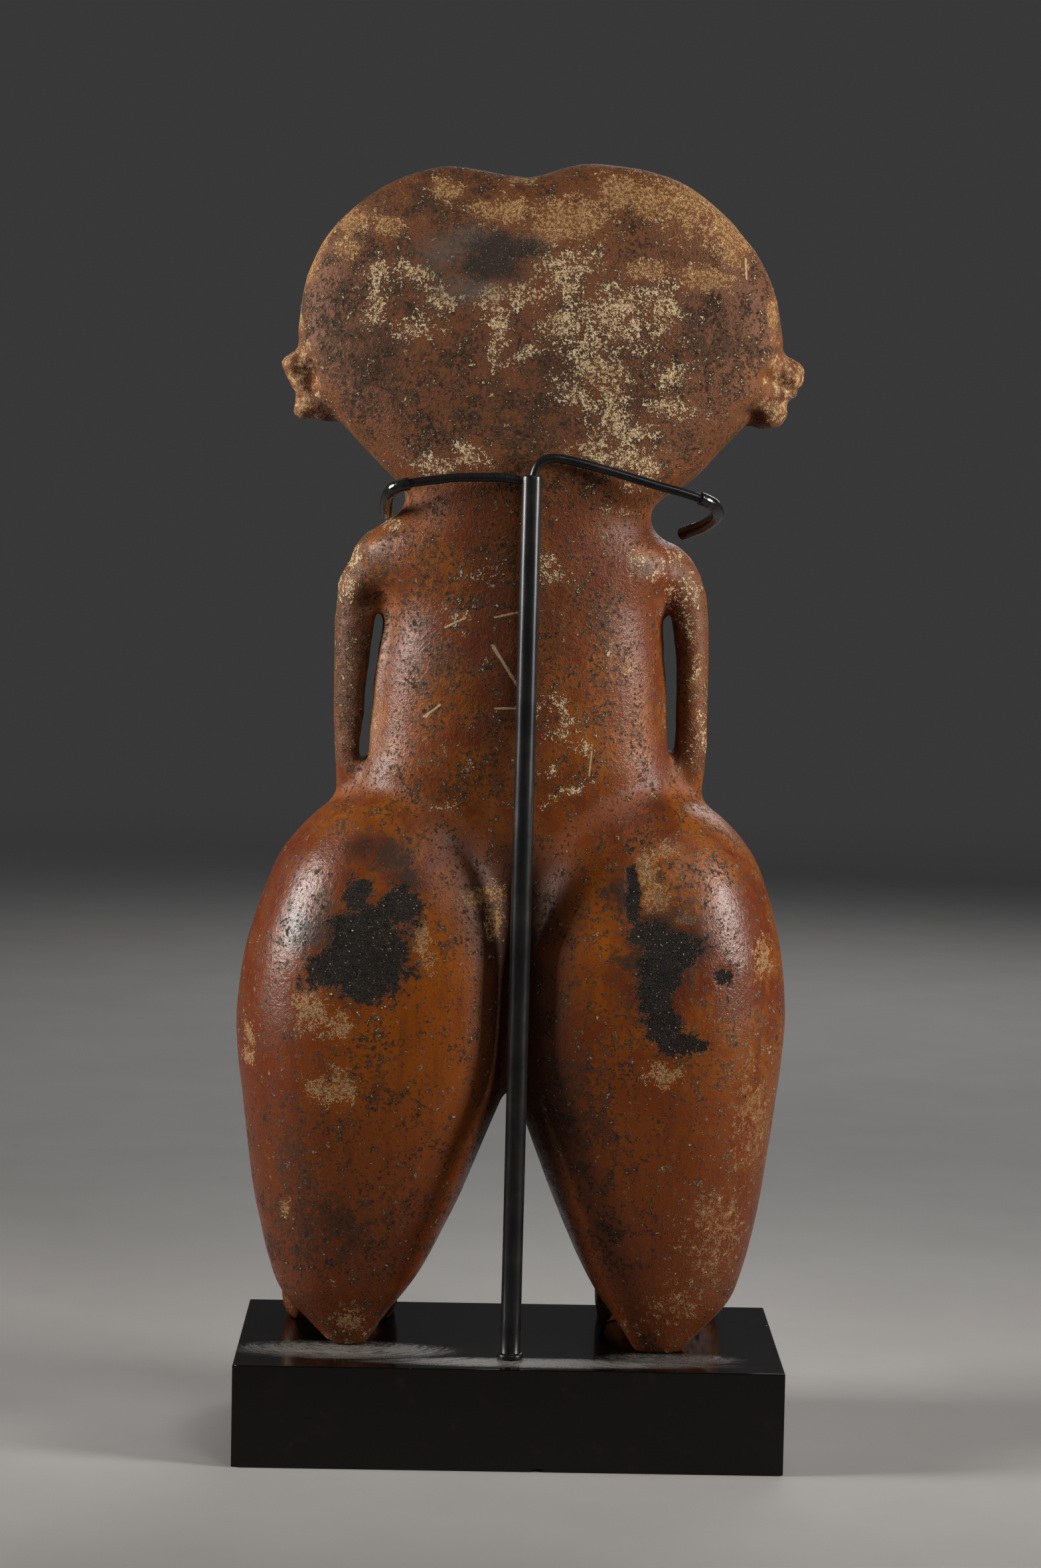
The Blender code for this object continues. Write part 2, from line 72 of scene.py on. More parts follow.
# %% [markdown]
# ## Helpers for meshes
#
# Sizes are named in millimetres, and a mesh is scaled to metres when it becomes an object. Three ways of making a
# mesh come back again and again: a stack of rings, a rod along a path, and a ball. Each closed body gets its
# normals turned outwards once, when it is finished.


# %% From a bmesh in millimetres to an object, and back to a plain mesh
def object_of(name, bm, material=None):
    bmesh.ops.scale(bm, vec=(MM, MM, MM), verts=bm.verts)
    bmesh.ops.recalc_face_normals(bm, faces=bm.faces)
    mesh = bpy.data.meshes.new(name)
    bm.to_mesh(mesh)
    bm.free()
    if material:
        mesh.materials.append(material)
    made = bpy.data.objects.new(name, mesh)
    bpy.context.scene.collection.objects.link(made)
    return made


def modelled(made):
    """The object's mesh as its modifiers leave it."""
    bpy.context.view_layer.update()
    return bpy.data.meshes.new_from_object(made.evaluated_get(bpy.context.evaluated_depsgraph_get()))


def finished(made):
    """Keeps what the modifiers made as the object's own mesh."""
    mesh = modelled(made)
    made.modifiers.clear()
    made.data = mesh
    return made


def cut(target, cutter):
    modifier = target.modifiers.new("Cut " + cutter.name, "BOOLEAN")
    modifier.operation = "DIFFERENCE"
    modifier.solver = "EXACT"
    modifier.object = cutter


def smooth_step(values, low, high):
    t = np.clip((values - low) / (high - low), 0.0, 1.0)
    return t * t * (3.0 - 2.0 * t)


# %% Smooth curves through a few named rows
def smooth_rows(rows, places):
    """Reads a smooth curve through rows, whose first column is the place, without overshoot between them."""
    rows = np.array(rows, float)
    at, values = rows[:, 0], rows[:, 1:]
    width = np.diff(at)[:, None]
    slope = np.diff(values, axis=0) / width
    tangent = np.zeros_like(values)
    tangent[0], tangent[-1] = slope[0], slope[-1]
    product = slope[:-1] * slope[1:]
    total = slope[:-1] + slope[1:]
    inner = np.divide(2.0 * product, total, out=np.zeros_like(product), where=product > 0.0)
    tangent[1:-1] = inner
    places = np.asarray(places, float)
    low = np.clip(np.searchsorted(at, places, side="right") - 1, 0, len(at) - 2)
    span = width[low]
    t = ((places - at[low])[:, None]) / span
    rise = values[low + 1] - values[low]
    return (
        values[low]
        + rise * t * t * (3.0 - 2.0 * t)
        + span * tangent[low] * t * (1.0 - t) ** 2
        - span * tangent[low + 1] * t * t * (1.0 - t)
    )


def round_way(rows, step):
    """Points spaced by about one step along a smooth curve through rows of x, y, z and any sizes."""
    rows = np.array(rows, float)
    length = np.concatenate([[0.0], np.cumsum(np.linalg.norm(np.diff(rows[:, :3], axis=0), axis=1))])
    keyed = np.column_stack([length, rows])
    count = max(2, round(length[-1] / step) + 1)
    return smooth_rows(keyed, np.linspace(0.0, length[-1], count))


def levels(rows, step):
    low, high = rows[0][0], rows[-1][0]
    return np.linspace(low, high, round((high - low) / step) + 1)


# %% Rings, stacks, sweeps and balls
RING_POINTS = 64
RING_STEP = 2.5
FINE_STEP = 2.0


def unit_ring(points, roundness):
    """A closed outline between a circle (roundness 2) and a square."""
    turn = np.linspace(0.0, 2.0 * math.pi, points, endpoint=False)
    wave = np.column_stack([np.cos(turn), np.sin(turn)])
    return np.sign(wave) * np.abs(wave) ** (2.0 / roundness)


def skin_rings(bm, rings):
    """Joins rings of equal count into one closed body, with a fan on each end."""
    made = [[bm.verts.new(point) for point in ring] for ring in rings]
    for lower, upper in zip(made, made[1:]):
        for index in range(len(lower)):
            after = (index + 1) % len(lower)
            bm.faces.new((lower[index], lower[after], upper[after], upper[index]))
    for ring in (made[0], made[-1]):
        middle = bm.verts.new(sum((vert.co for vert in ring), Vector()) / len(ring))
        for index in range(len(ring)):
            bm.faces.new((ring[index], ring[(index + 1) % len(ring)], middle))


def add_stack(bm, sections, outline):
    """Level rings of one outline from rows of height, middle x, half width, back and front."""
    rings = []
    for height, middle, half_width, back, front in sections:
        half_depth = 0.5 * (front - back)
        across = middle + outline[:, 0] * half_width
        along = 0.5 * (front + back) + outline[:, 1] * half_depth
        rings.append(np.column_stack([across, along, np.full(len(outline), height)]))
    skin_rings(bm, rings)


def add_sweep(bm, stations):
    """Rings square to a path, from rows of x, y, z, half width and half depth."""
    outline = unit_ring(RING_POINTS // 2, 2.0)
    middles = stations[:, :3]
    tangents = np.gradient(middles, axis=0)
    rings = []
    side = Vector((1.0, 0.0, 0.0))
    for middle, tangent, (half_width, half_depth) in zip(middles, tangents, stations[:, 3:]):
        forward = Vector(tangent).normalized()
        side = (side - side.dot(forward) * forward).normalized()
        other = forward.cross(side)
        rings.append([Vector(middle) + side * u * half_width + other * v * half_depth for u, v in outline])
    skin_rings(bm, rings)


def add_ball(bm, middle, radii, angle=0.0, axis="Y"):
    place = Matrix.Translation(middle) @ Matrix.Rotation(angle, 4, axis) @ Matrix.Diagonal((*radii, 1.0))
    bmesh.ops.create_uvsphere(bm, u_segments=28, v_segments=18, radius=1.0, matrix=place)


# %% [markdown]
# ## A bench for nodes
#
# Materials and Geometry Nodes trees are both made of nodes, so one small class makes any node: it takes the node's
# type, then its settings, then the values or links of its sockets. What comes out of a node is wrapped so that it
# can be added and multiplied like a number, which adds the Math nodes. That keeps a material readable as a recipe.


# %% The wrapper for a node's output
class Flow:
    """What comes out of a node. Arithmetic on it adds Math nodes."""

    def __init__(self, bench, socket):
        self.bench, self.socket = bench, socket

    def math(self, operation, first, second):
        return self.bench.node("ShaderNodeMath", {"operation": operation}, {0: first, 1: second})

    def __add__(self, other):
        return self.math("ADD", self, other)

    def __radd__(self, other):
        return self.math("ADD", other, self)

    def __sub__(self, other):
        return self.math("SUBTRACT", self, other)

    def __rsub__(self, other):
        return self.math("SUBTRACT", other, self)

    def __mul__(self, other):
        return self.math("MULTIPLY", self, other)

    def __rmul__(self, other):
        return self.math("MULTIPLY", other, self)

    def most(self, other):
        return self.math("MAXIMUM", self, other)

    def between(self, low, high):
        """0 below low and 1 above high, with a soft rise between them."""
        values = {"Value": self, "From Min": low, "From Max": high}
        return self.bench.node("ShaderNodeMapRange", {"interpolation_type": "SMOOTHSTEP"}, values)


# %% The bench itself
class Bench:
    """Makes nodes in one tree."""

    def __init__(self, tree):
        self.tree = tree

    def node(self, kind, settings=None, values=None, output=0):
        made = self.tree.nodes.new(kind)
        for setting, value in (settings or {}).items():
            setattr(made, setting, value)
        for name, value in (values or {}).items():
            socket = made.inputs[name]
            if isinstance(value, Flow):
                self.tree.links.new(value.socket, socket)
            elif value is not None:
                colour = socket.type == "RGBA" and len(value) == 3
                socket.default_value = (*value, 1.0) if colour else value
        return Flow(self, made.outputs[output])


class Finish(Bench):
    """A material whose patterns are measured in millimetres on the piece itself."""

    def __init__(self, name):
        self.material = bpy.data.materials.new(name)
        self.material.use_nodes = True
        super().__init__(self.material.node_tree)
        self.shader = self.tree.nodes["Principled BSDF"]
        place = self.node("ShaderNodeTexCoord", output="Object")
        self.place = self.node("ShaderNodeVectorMath", {"operation": "SCALE"}, {0: place, "Scale": 1.0 / MM})

    def moved(self, size, stretch=(1.0, 1.0, 1.0), shift=0.0):
        scales = tuple(part / size for part in stretch)
        values = {0: self.place, 1: scales, 2: (shift, 2.7 * shift, -1.3 * shift)}
        return self.node("ShaderNodeVectorMath", {"operation": "MULTIPLY_ADD"}, values)

    def clouds(self, size, detail=3.0, harshness=0.55, stretch=(1.0, 1.0, 1.0), shift=0.0, bend=0.0):
        """Cloudy values between -1 and 1, whose clouds are about `size` millimetres across."""
        values = {
            "Vector": self.moved(size, stretch, shift),
            "Scale": 1.0,
            "Detail": detail,
            "Roughness": harshness,
            "Distortion": bend,
        }
        return self.node("ShaderNodeTexNoise", {}, values) * 3.0 - 1.5

    def bent(self, size, bend, shift):
        """Places for a pattern, pushed about by noise of the pattern's own size."""
        at = self.moved(size, shift=shift)
        push = self.node("ShaderNodeTexNoise", {}, {"Vector": at, "Scale": 1.3, "Detail": 2.0}, "Color")
        values = {0: push, 1: (bend, bend, bend), 2: at}
        return self.node("ShaderNodeVectorMath", {"operation": "MULTIPLY_ADD"}, values)

    def dots(self, size, share, edge=0.06, shift=0.0, bend=0.5):
        """Uneven spots of random size, at most one in each cell of `size` millimetres."""
        values = {"Vector": self.bent(size, bend, shift), "Scale": 1.0}
        made = self.node("ShaderNodeTexVoronoi", {}, values)
        colour = Flow(self, made.socket.node.outputs["Color"])
        radius = self.node("ShaderNodeSeparateColor", {}, {0: colour}) * share
        return 1.0 - made.between(radius - edge, radius + 0.5 * edge)

    def scratch(self, x0, z0, x1, z1, half_width, ragged):
        """1 on a straight line over x and height, in millimetres."""
        way = (x1 - x0, 0.0, z1 - z0)
        flat = self.node("ShaderNodeVectorMath", {"operation": "MULTIPLY"}, {0: self.place, 1: (1.0, 0.0, 1.0)})
        gone = self.node("ShaderNodeVectorMath", {"operation": "SUBTRACT"}, {0: flat, 1: (x0, 0.0, z0)})
        dot = self.node("ShaderNodeVectorMath", {"operation": "DOT_PRODUCT"}, {0: gone, 1: way}, "Value")
        along = (dot * (1.0 / (way[0] ** 2 + way[2] ** 2))).most(0.0)
        along = along.math("MINIMUM", along, 1.0)
        nearest = self.node("ShaderNodeVectorMath", {"operation": "SCALE"}, {0: way, "Scale": along})
        away = self.node("ShaderNodeVectorMath", {"operation": "DISTANCE"}, {0: gone, 1: nearest}, "Value")
        return 1.0 - (away * (1.0 / half_width) + ragged).between(0.5, 1.1)

    def worn(self, name):
        """A mask that was painted on the mesh's points."""
        return self.node("ShaderNodeAttribute", {"attribute_name": name}, output="Fac")

    def blend(self, factor, first, second):
        """The second colour over the first one."""
        return self.node("ShaderNodeMix", {"data_type": "RGBA"}, {0: factor, 6: first, 7: second}, output=2)

    def finish(self, colour, roughness, height=None, **constants):
        """Feeds the shader. The height is in millimetres."""
        for name, value in {"Base Color": colour, "Roughness": roughness, **constants}.items():
            socket = self.shader.inputs[name]
            if isinstance(value, Flow):
                self.tree.links.new(value.socket, socket)
            else:
                socket.default_value = value
        if height is not None:
            bump = self.node("ShaderNodeBump", {}, {"Strength": 1.0, "Distance": MM, "Height": height})
            self.tree.links.new(bump.socket, self.shader.inputs["Normal"])
        print(self.material.name, len(self.tree.nodes), "nodes")
        return self.material


class Pattern(Bench):
    """A Geometry Nodes tree with named inputs."""

    def __init__(self, name, inputs):
        tree = bpy.data.node_groups.new(name, "GeometryNodeTree")
        super().__init__(tree)
        tree.interface.new_socket(name="Geometry", in_out="INPUT", socket_type="NodeSocketGeometry")
        for label, kind in inputs.items():
            tree.interface.new_socket(name=label, in_out="INPUT", socket_type="NodeSocket" + kind)
        tree.interface.new_socket(name="Geometry", in_out="OUTPUT", socket_type="NodeSocketGeometry")
        self.start = tree.nodes.new("NodeGroupInput")
        self.end = tree.nodes.new("NodeGroupOutput")

    def given(self, label):
        return Flow(self, self.start.outputs[label])

    def close(self, result):
        self.tree.links.new(result.socket, self.end.inputs[0])

    def used_on(self, made, **values):
        """Runs the tree on an object and keeps the result as its mesh."""
        modifier = made.modifiers.new(self.tree.name, "NODES")
        modifier.node_group = self.tree
        for item in self.tree.interface.items_tree:
            if item.in_out == "INPUT" and item.name in values:
                modifier[item.identifier] = values[item.name]
        return finished(made)


# %% [markdown]
# ## The clay body
#
# A coil-built pot has no straight edges: the potter joined swelling forms and wiped the joins away. The same is
# done here. Stacks of rings make the torso, head and legs, a voxel remesh turns them into one skin, and many
# smoothing passes melt the joins, as wet fingers do. Then the small forms are pressed on and the skin is made again
# with only a little smoothing, so that they stay crisp. The slots beside the arms and the hollows under the insteps
# are cut afterwards, with a last light remesh that rounds their edges. That skin is fine enough for a slot of three
# millimetres, which is finer than the rest needs, so its faces are thinned out evenly at the end.

# %% Named sizes of the large forms, in millimetres
GAP = 0.3
PLINTH_HEIGHT = 32.0
SOLE = PLINTH_HEIGHT + GAP
BELOW_SOLE = 3.0
SKIN_GRAIN = 1.5
EDGE_GRAIN = 1.25
CLAY_TRIANGLES = 172000
BODY_SMOOTHING = 16
DETAIL_SMOOTHING = 3
EDGE_SMOOTHING = 2

LEGS_MIDDLE = -1.2
LEGS_LEAN = 0.03
LEGS_LEAN_ABOVE = 130.0
LEG_ROUNDNESS = 2.15
LEG_INNER_ROUNDNESS = 3.1
# Height, outer side and inner side from the middle plane, back and front
LEG_ROWS = (
    (30.0, 55.5, 44.5, -14.0, -5.0), (33.0, 57.0, 43.0, -16.5, -2.5), (38.0, 62.0, 39.5, -18.0, 4.0),
    (42.5, 67.2, 36.0, -19.5, 13.0), (47.0, 71.8, 31.8, -21.0, 21.0), (55.5, 75.3, 26.0, -23.0, 30.0),
    (64.0, 77.9, 21.5, -25.0, 35.0), (81.0, 81.4, 13.4, -29.0, 40.0), (100.0, 83.9, 6.0, -32.5, 43.0),
    (112.0, 85.4, 1.2, -34.5, 44.5), (120.0, 86.3, -1.0, -35.5, 45.0), (134.0, 87.1, -2.0, -36.5, 45.5),
    (151.0, 85.8, -2.0, -36.5, 45.0), (168.0, 82.0, -1.0, -35.5, 43.5), (177.0, 79.0, 1.5, -34.0, 42.5),
    (185.6, 75.3, 5.5, -31.5, 41.0), (194.0, 69.0, 12.0, -27.5, 38.0), (200.0, 62.5, 18.0, -23.5, 35.0),
    (205.0, 54.2, 26.0, -18.0, 30.0), (208.0, 45.5, 34.0, -9.0, 20.0),
)
HEEL_BACK = {-1: -2.6, 1: -7.6}
HEEL_IN = {-1: 0.0, 1: 3.0}
HEEL_FADES_ABOVE = 110.0

TORSO_ROUNDNESS = 2.35
# Height, middle, half width, back and front
TORSO_ROWS = (
    (160.0, -1.0, 28.0, 0.0, 36.0), (172.0, -1.0, 38.0, -9.0, 39.0), (184.0, -1.0, 46.0, -18.5, 40.5),
    (196.0, -0.8, 51.0, -23.5, 41.0), (210.0, -0.5, 52.5, -25.5, 40.0), (219.0, -0.3, 49.0, -26.5, 38.5),
    (228.0, 0.0, 47.3, -27.0, 36.5), (245.0, 0.2, 45.4, -27.8, 33.0), (262.0, 0.7, 43.0, -28.0, 30.0),
    (269.0, 0.3, 44.5, -28.0, 28.5), (276.0, -0.9, 50.7, -27.6, 26.0), (281.0, -2.3, 51.1, -27.4, 25.0),
    (286.0, -3.2, 47.2, -27.4, 23.5), (290.0, -1.8, 42.0, -27.4, 22.5), (294.0, 0.8, 38.6, -27.6, 21.5),
    (300.0, 2.0, 38.0, -28.0, 21.0), (312.0, 4.0, 36.0, -26.0, 20.0),
)
HEAD_ROUNDNESS = 2.6
HEAD_ROWS = (
    (292.0, 3.0, 30.0, -22.0, 16.0), (297.0, 3.0, 37.0, -26.0, 20.0), (301.0, 4.4, 42.2, -27.8, 22.5),
    (306.0, 5.4, 48.4, -28.2, 24.0), (313.0, 5.1, 54.9, -28.4, 25.0), (322.0, 4.9, 63.5, -28.2, 25.5),
    (334.0, 5.0, 72.0, -27.6, 25.0), (347.0, 4.4, 75.7, -26.4, 23.5), (361.0, 3.8, 74.1, -24.4, 20.8),
    (374.0, 3.3, 69.1, -21.8, 17.5), (384.0, 2.8, 61.8, -19.0, 14.0), (392.0, 3.2, 52.7, -16.4, 10.5),
    (397.5, 3.9, 43.2, -13.6, 7.0), (401.2, 4.1, 30.8, -10.4, 3.5), (403.2, 4.0, 14.5, -7.0, 0.0),
)
NOTCH_AT = -2.6
NOTCH_DEPTH = 6.6
NOTCH_WIDTH = 11.5
NOTCH_FADES_BELOW = 26.0


# %% Legs, torso and head
def leg_outline(side):
    """Fuller on the inner side, where the thighs lie close together."""
    outer = unit_ring(RING_POINTS, LEG_ROUNDNESS)
    inner = unit_ring(RING_POINTS, LEG_INNER_ROUNDNESS)
    return np.where(side * outer[:, :1] > 0.0, outer, inner)


def add_leg(bm, side):
    heights = levels(LEG_ROWS, RING_STEP)
    outer, inner, back, front = smooth_rows(LEG_ROWS, heights).T
    heel = np.clip((HEEL_FADES_ABOVE - heights) / (HEEL_FADES_ABOVE - SOLE), 0.0, 1.0) ** 2
    inner = inner - HEEL_IN[side] * heel
    lean = LEGS_LEAN * np.maximum(heights - LEGS_LEAN_ABOVE, 0.0)
    middle = LEGS_MIDDLE + lean + side * 0.5 * (outer + inner)
    set_back = HEEL_BACK[side] * heel
    rows = np.column_stack([heights, middle, 0.5 * (outer - inner), back + set_back, front + set_back])
    add_stack(bm, rows, leg_outline(side))


def add_torso(bm):
    heights = levels(TORSO_ROWS, RING_STEP)
    rows = np.column_stack([heights, smooth_rows(TORSO_ROWS, heights)])
    add_stack(bm, rows, unit_ring(RING_POINTS, TORSO_ROUNDNESS))


def add_head(bm):
    """The broad flat head, with a shallow notch pressed into its top edge."""
    first = len(bm.verts)
    heights = levels(HEAD_ROWS, FINE_STEP)
    rows = np.column_stack([heights, smooth_rows(HEAD_ROWS, heights)])
    add_stack(bm, rows, unit_ring(RING_POINTS, HEAD_ROUNDNESS))
    bm.verts.ensure_lookup_table()
    top = HEAD_ROWS[-1][0]
    for vert in bm.verts[first:]:
        reach = max(0.0, 1.0 - (top - vert.co.z) / NOTCH_FADES_BELOW)
        across = (vert.co.x - NOTCH_AT) / NOTCH_WIDTH
        vert.co.z -= NOTCH_DEPTH * reach * math.exp(-across * across)


# %% [markdown]
# ## Arms, feet, ears and features
#
# The arms are thin flat coils that hang beside the body with a slot of daylight between them, and the hands lie on
# the belly. Each foot has a narrow knob for a heel and a wider front, with a hollow below the instep that leaves
# a thin edge at each side. The ears are stumps: their rings broke off long ago. The front is not seen in the
# reference, so its face is a plain, calm one on the usual proportions: eyes half way up, nose below them, and a
# small closed mouth.

# %% Sizes of the small forms, in millimetres
ARMS_MIDDLE = 0.2
# Outer side from the middle plane, depth, height, half width (left, right), half depth
ARM_ROWS = (
    (48.5, -2.0, 282.0, (6.5, 6.5), 9.0),
    (54.6, -1.5, 276.0, (8.0, 8.0), 9.5),
    (58.2, -1.0, 268.0, (8.6, 7.6), 9.0),
    (59.0, -1.0, 259.0, (8.6, 6.4), 8.6),
    (59.1, -1.0, 247.0, (8.6, 5.5), 8.2),
    (59.2, -0.5, 235.0, (8.4, 5.5), 7.8),
    (59.1, 0.5, 221.0, (7.6, 5.6), 7.2),
    (58.4, 4.0, 209.5, (6.0, 5.4), 6.6),
)
# Distance from the middle plane, depth, height, half width, half depth
FOREARM_ROWS = (
    (51.5, 14.0, 204.5, 6.0, 6.0), (47.0, 26.0, 206.0, 5.8, 5.8), (38.0, 35.0, 211.0, 5.6, 5.4),
    (27.0, 39.5, 217.5, 6.6, 4.0), (19.0, 40.5, 221.0, 7.4, 3.4), (10.0, 39.5, 224.0, 6.0, 2.6),
)
# Height, distance from the middle plane, half width
SLOT_ROWS = {
    -1: (
        (213.0, 49.7, 1.2),
        (219.0, 49.1, 1.6),
        (228.0, 48.3, 1.6),
        (240.0, 47.4, 1.6),
        (254.0, 45.7, 1.6),
        (265.0, 44.2, 1.2),
    ),
    1: (
        (215.0, 48.0, 1.1),
        (221.0, 47.8, 1.6),
        (235.0, 47.4, 1.7),
        (247.0, 47.0, 1.9),
        (258.0, 45.9, 1.8),
        (267.0, 44.9, 1.2),
    ),
}
SLOT_FRONT = 34.0
SLOT_BACK = -34.0
SLOT_ROUNDNESS = 4.0
# Depth, half width, top height
FOOT_ROWS = (
    (17.0, 15.0, 52.0), (21.0, 18.4, 57.0), (26.0, 18.6, 58.0), (32.0, 18.2, 53.0), (39.0, 17.5, 46.0),
    (44.0, 16.5, 41.0), (46.0, 13.0, 38.0),
)
FOOT_ROUNDNESS = 3.4
FOOT_MIDDLE = {-1: 53.3, 1: 50.2}
FOOT_WIDER = {-1: 0.4, 1: 2.4}
FOOT_SKEW = {-1: 0.0, 1: 0.6}
ARCH_RADII = (14.2, 23.0, 13.0)
ARCH_MIDDLE_DEPTH = 7.0
ARCH_MIDDLE_BELOW = 2.0
# Small bodies: middle and radii
LEFT_EAR = (
    ((-69.0, 0.0, 338.5), (7.0, 8.0, 5.2)),
    ((-67.5, 0.5, 331.0), (6.4, 7.5, 5.5)),
    ((-64.5, 0.0, 325.5), (7.8, 8.0, 5.0)),
)
RIGHT_EAR = (
    ((78.8, 0.0, 339.0), (8.2, 8.0, 5.6)),
    ((76.0, 0.0, 332.5), (9.0, 7.5, 5.6)),
    ((74.5, 0.0, 326.5), (7.6, 7.8, 5.4)),
)
FACE_MIDDLE = 4.5
NOSE = ((0.0, 24.0, 338.0), (4.6, 8.0, 15.0))
NOSTRILS = ((3.6, 26.5, 326.5), (3.4, 4.4, 3.4))
BROW = ((25.0, 20.5, 357.0), (22.0, 4.5, 2.8))
EYE = ((27.0, 21.0, 348.5), (12.5, 4.0, 4.0))
LIPS = ((0.0, 25.0, 315.0), (9.5, 3.6, 3.4))
BREAST = ((21.0, 27.0, 262.0), (10.0, 8.0, 10.0))
BELLY = ((0.0, 20.0, 188.0), (50.0, 24.5, 48.0))
NAVEL = ((0.0, 43.5, 203.0), (3.2, 3.0, 3.2))
PALM = ((17.5, 39.5, 221.0), (9.5, 4.2, 7.0))
PALM_TILT = 0.35


# %% Small forms, and the hollows that are cut
def add_foot(bm, side):
    """The front of a foot, as upright rings from the ankle to the toes. The ankle end is set askew."""
    depths = levels(FOOT_ROWS, FINE_STEP)
    outline = unit_ring(RING_POINTS, FOOT_ROUNDNESS)
    middle = LEGS_MIDDLE + side * FOOT_MIDDLE[side]
    low = SOLE - BELOW_SOLE
    rings = []
    for depth, (half_width, top) in zip(depths, smooth_rows(FOOT_ROWS, depths)):
        half_height = 0.5 * (top - low)
        skew = FOOT_SKEW[side] * (1.0 - (depth - depths[0]) / (depths[-1] - depths[0]))
        across = outline[:, 0] * (half_width + FOOT_WIDER[side])
        up = low + half_height * (1.0 + outline[:, 1])
        rings.append(np.column_stack([middle + across, depth + skew * across, up]))
    skin_rings(bm, rings)


def add_arm(bm, side):
    rows = []
    for outer, depth, height, half_widths, half_depth in ARM_ROWS:
        half_width = half_widths[side > 0]
        rows.append((ARMS_MIDDLE + side * (outer - half_width), depth, height, half_width, half_depth))
    for out, depth, height, half_width, half_depth in FOREARM_ROWS:
        rows.append((ARMS_MIDDLE + side * out, depth, height, half_width, half_depth))
    add_sweep(bm, round_way(rows, RING_STEP))


def add_pairs(bm, middle_plane, parts):
    """Small bodies: one on the middle plane, or one on each side of it."""
    for (out, depth, height), radii in parts:
        for side in (-1, 1) if out else (1,):
            add_ball(bm, (middle_plane + side * out, depth, height), radii)


def body_shells():
    bm = bmesh.new()
    add_torso(bm)
    add_head(bm)
    add_pairs(bm, LEGS_MIDDLE, (BELLY,))
    for side in (-1, 1):
        add_leg(bm, side)
        add_arm(bm, side)
    return bm


def add_details(bm):
    for side in (-1, 1):
        add_foot(bm, side)
        (out, depth, height), radii = PALM
        add_ball(bm, (ARMS_MIDDLE + side * out, depth, height), radii, side * PALM_TILT)
    for middle, radii in LEFT_EAR + RIGHT_EAR:
        add_ball(bm, middle, radii)
    add_pairs(bm, LEGS_MIDDLE, (BREAST, NAVEL))
    add_pairs(bm, FACE_MIDDLE, (NOSE, NOSTRILS, BROW, EYE, LIPS))


def hollows_cutter():
    bm = bmesh.new()
    half_width, half_depth, height = ARCH_RADII
    for side, rows in SLOT_ROWS.items():
        middle = (LEGS_MIDDLE + side * FOOT_MIDDLE[side], ARCH_MIDDLE_DEPTH, SOLE - ARCH_MIDDLE_BELOW)
        radii = (half_width + FOOT_WIDER[side], half_depth, height)
        add_ball(bm, middle, radii, math.atan(FOOT_SKEW[side]), "Z")
        heights = levels(rows, RING_STEP)
        out, half_width_of_slot = smooth_rows(rows, heights).T
        ends = np.tile([SLOT_BACK, SLOT_FRONT], (len(heights), 1))
        rings = np.column_stack([heights, ARMS_MIDDLE + side * out, half_width_of_slot, ends])
        add_stack(bm, rings, unit_ring(RING_POINTS, SLOT_ROUNDNESS))
    return object_of("hollows", bm)


# %% One skin round all forms
def add_skin(target, smoothing, voxel=SKIN_GRAIN):
    skin = target.modifiers.new("Skin", "REMESH")
    skin.mode = "VOXEL"
    skin.voxel_size = voxel * MM
    skin.use_smooth_shade = True
    smooth = target.modifiers.new("Smoothed by hand", "SMOOTH")
    smooth.factor = 0.5
    smooth.iterations = smoothing


def floor_cutter():
    bm = bmesh.new()
    size = Matrix.Diagonal((340.0, 190.0, PLINTH_HEIGHT, 1.0))
    bmesh.ops.create_cube(bm, size=1.0, matrix=Matrix.Translation((0.0, 0.0, SOLE - 0.5 * PLINTH_HEIGHT)) @ size)
    return object_of("level of the soles", bm)


body = object_of("body", body_shells())
add_skin(body, BODY_SMOOTHING)
bm = bmesh.new()
add_details(bm)
bmesh.ops.scale(bm, vec=(MM, MM, MM), verts=bm.verts)
bm.from_mesh(modelled(body))
bmesh.ops.scale(bm, vec=(1.0 / MM, 1.0 / MM, 1.0 / MM), verts=bm.verts)
bpy.data.objects.remove(body)
figure = object_of("clay_figure", bm)
add_skin(figure, DETAIL_SMOOTHING)
hollows = hollows_cutter()
cut(figure, hollows)
add_skin(figure, EDGE_SMOOTHING, EDGE_GRAIN)
finished(figure)
fewer = figure.modifiers.new("Fewer faces", "DECIMATE")
fewer.ratio = min(1.0, CLAY_TRIANGLES / (2 * len(figure.data.polygons)))
soles = floor_cutter()
cut(figure, soles)
finished(figure)
for used in (hollows, soles):
    bpy.data.objects.remove(used)
print("figure", len(figure.data.vertices), "points", len(figure.data.polygons), "faces")

# %% [markdown]
# ## Where the surface is worn
#
# The ground has written on the clay: black sandy patches where the slip is gone on both thighs, a smoke cloud on
# the head, buff clay laid bare at the rims, and a pale crust in the middle of the head and on one arm. Each mark is
# a soft oval with a middle, two half sizes and, where it leans, a tilt. Painting them by hand would work as well,
# but a short list stays editable. The ovals are bent by noise, so none of them shows, and they are kept on the mesh
# as masks.

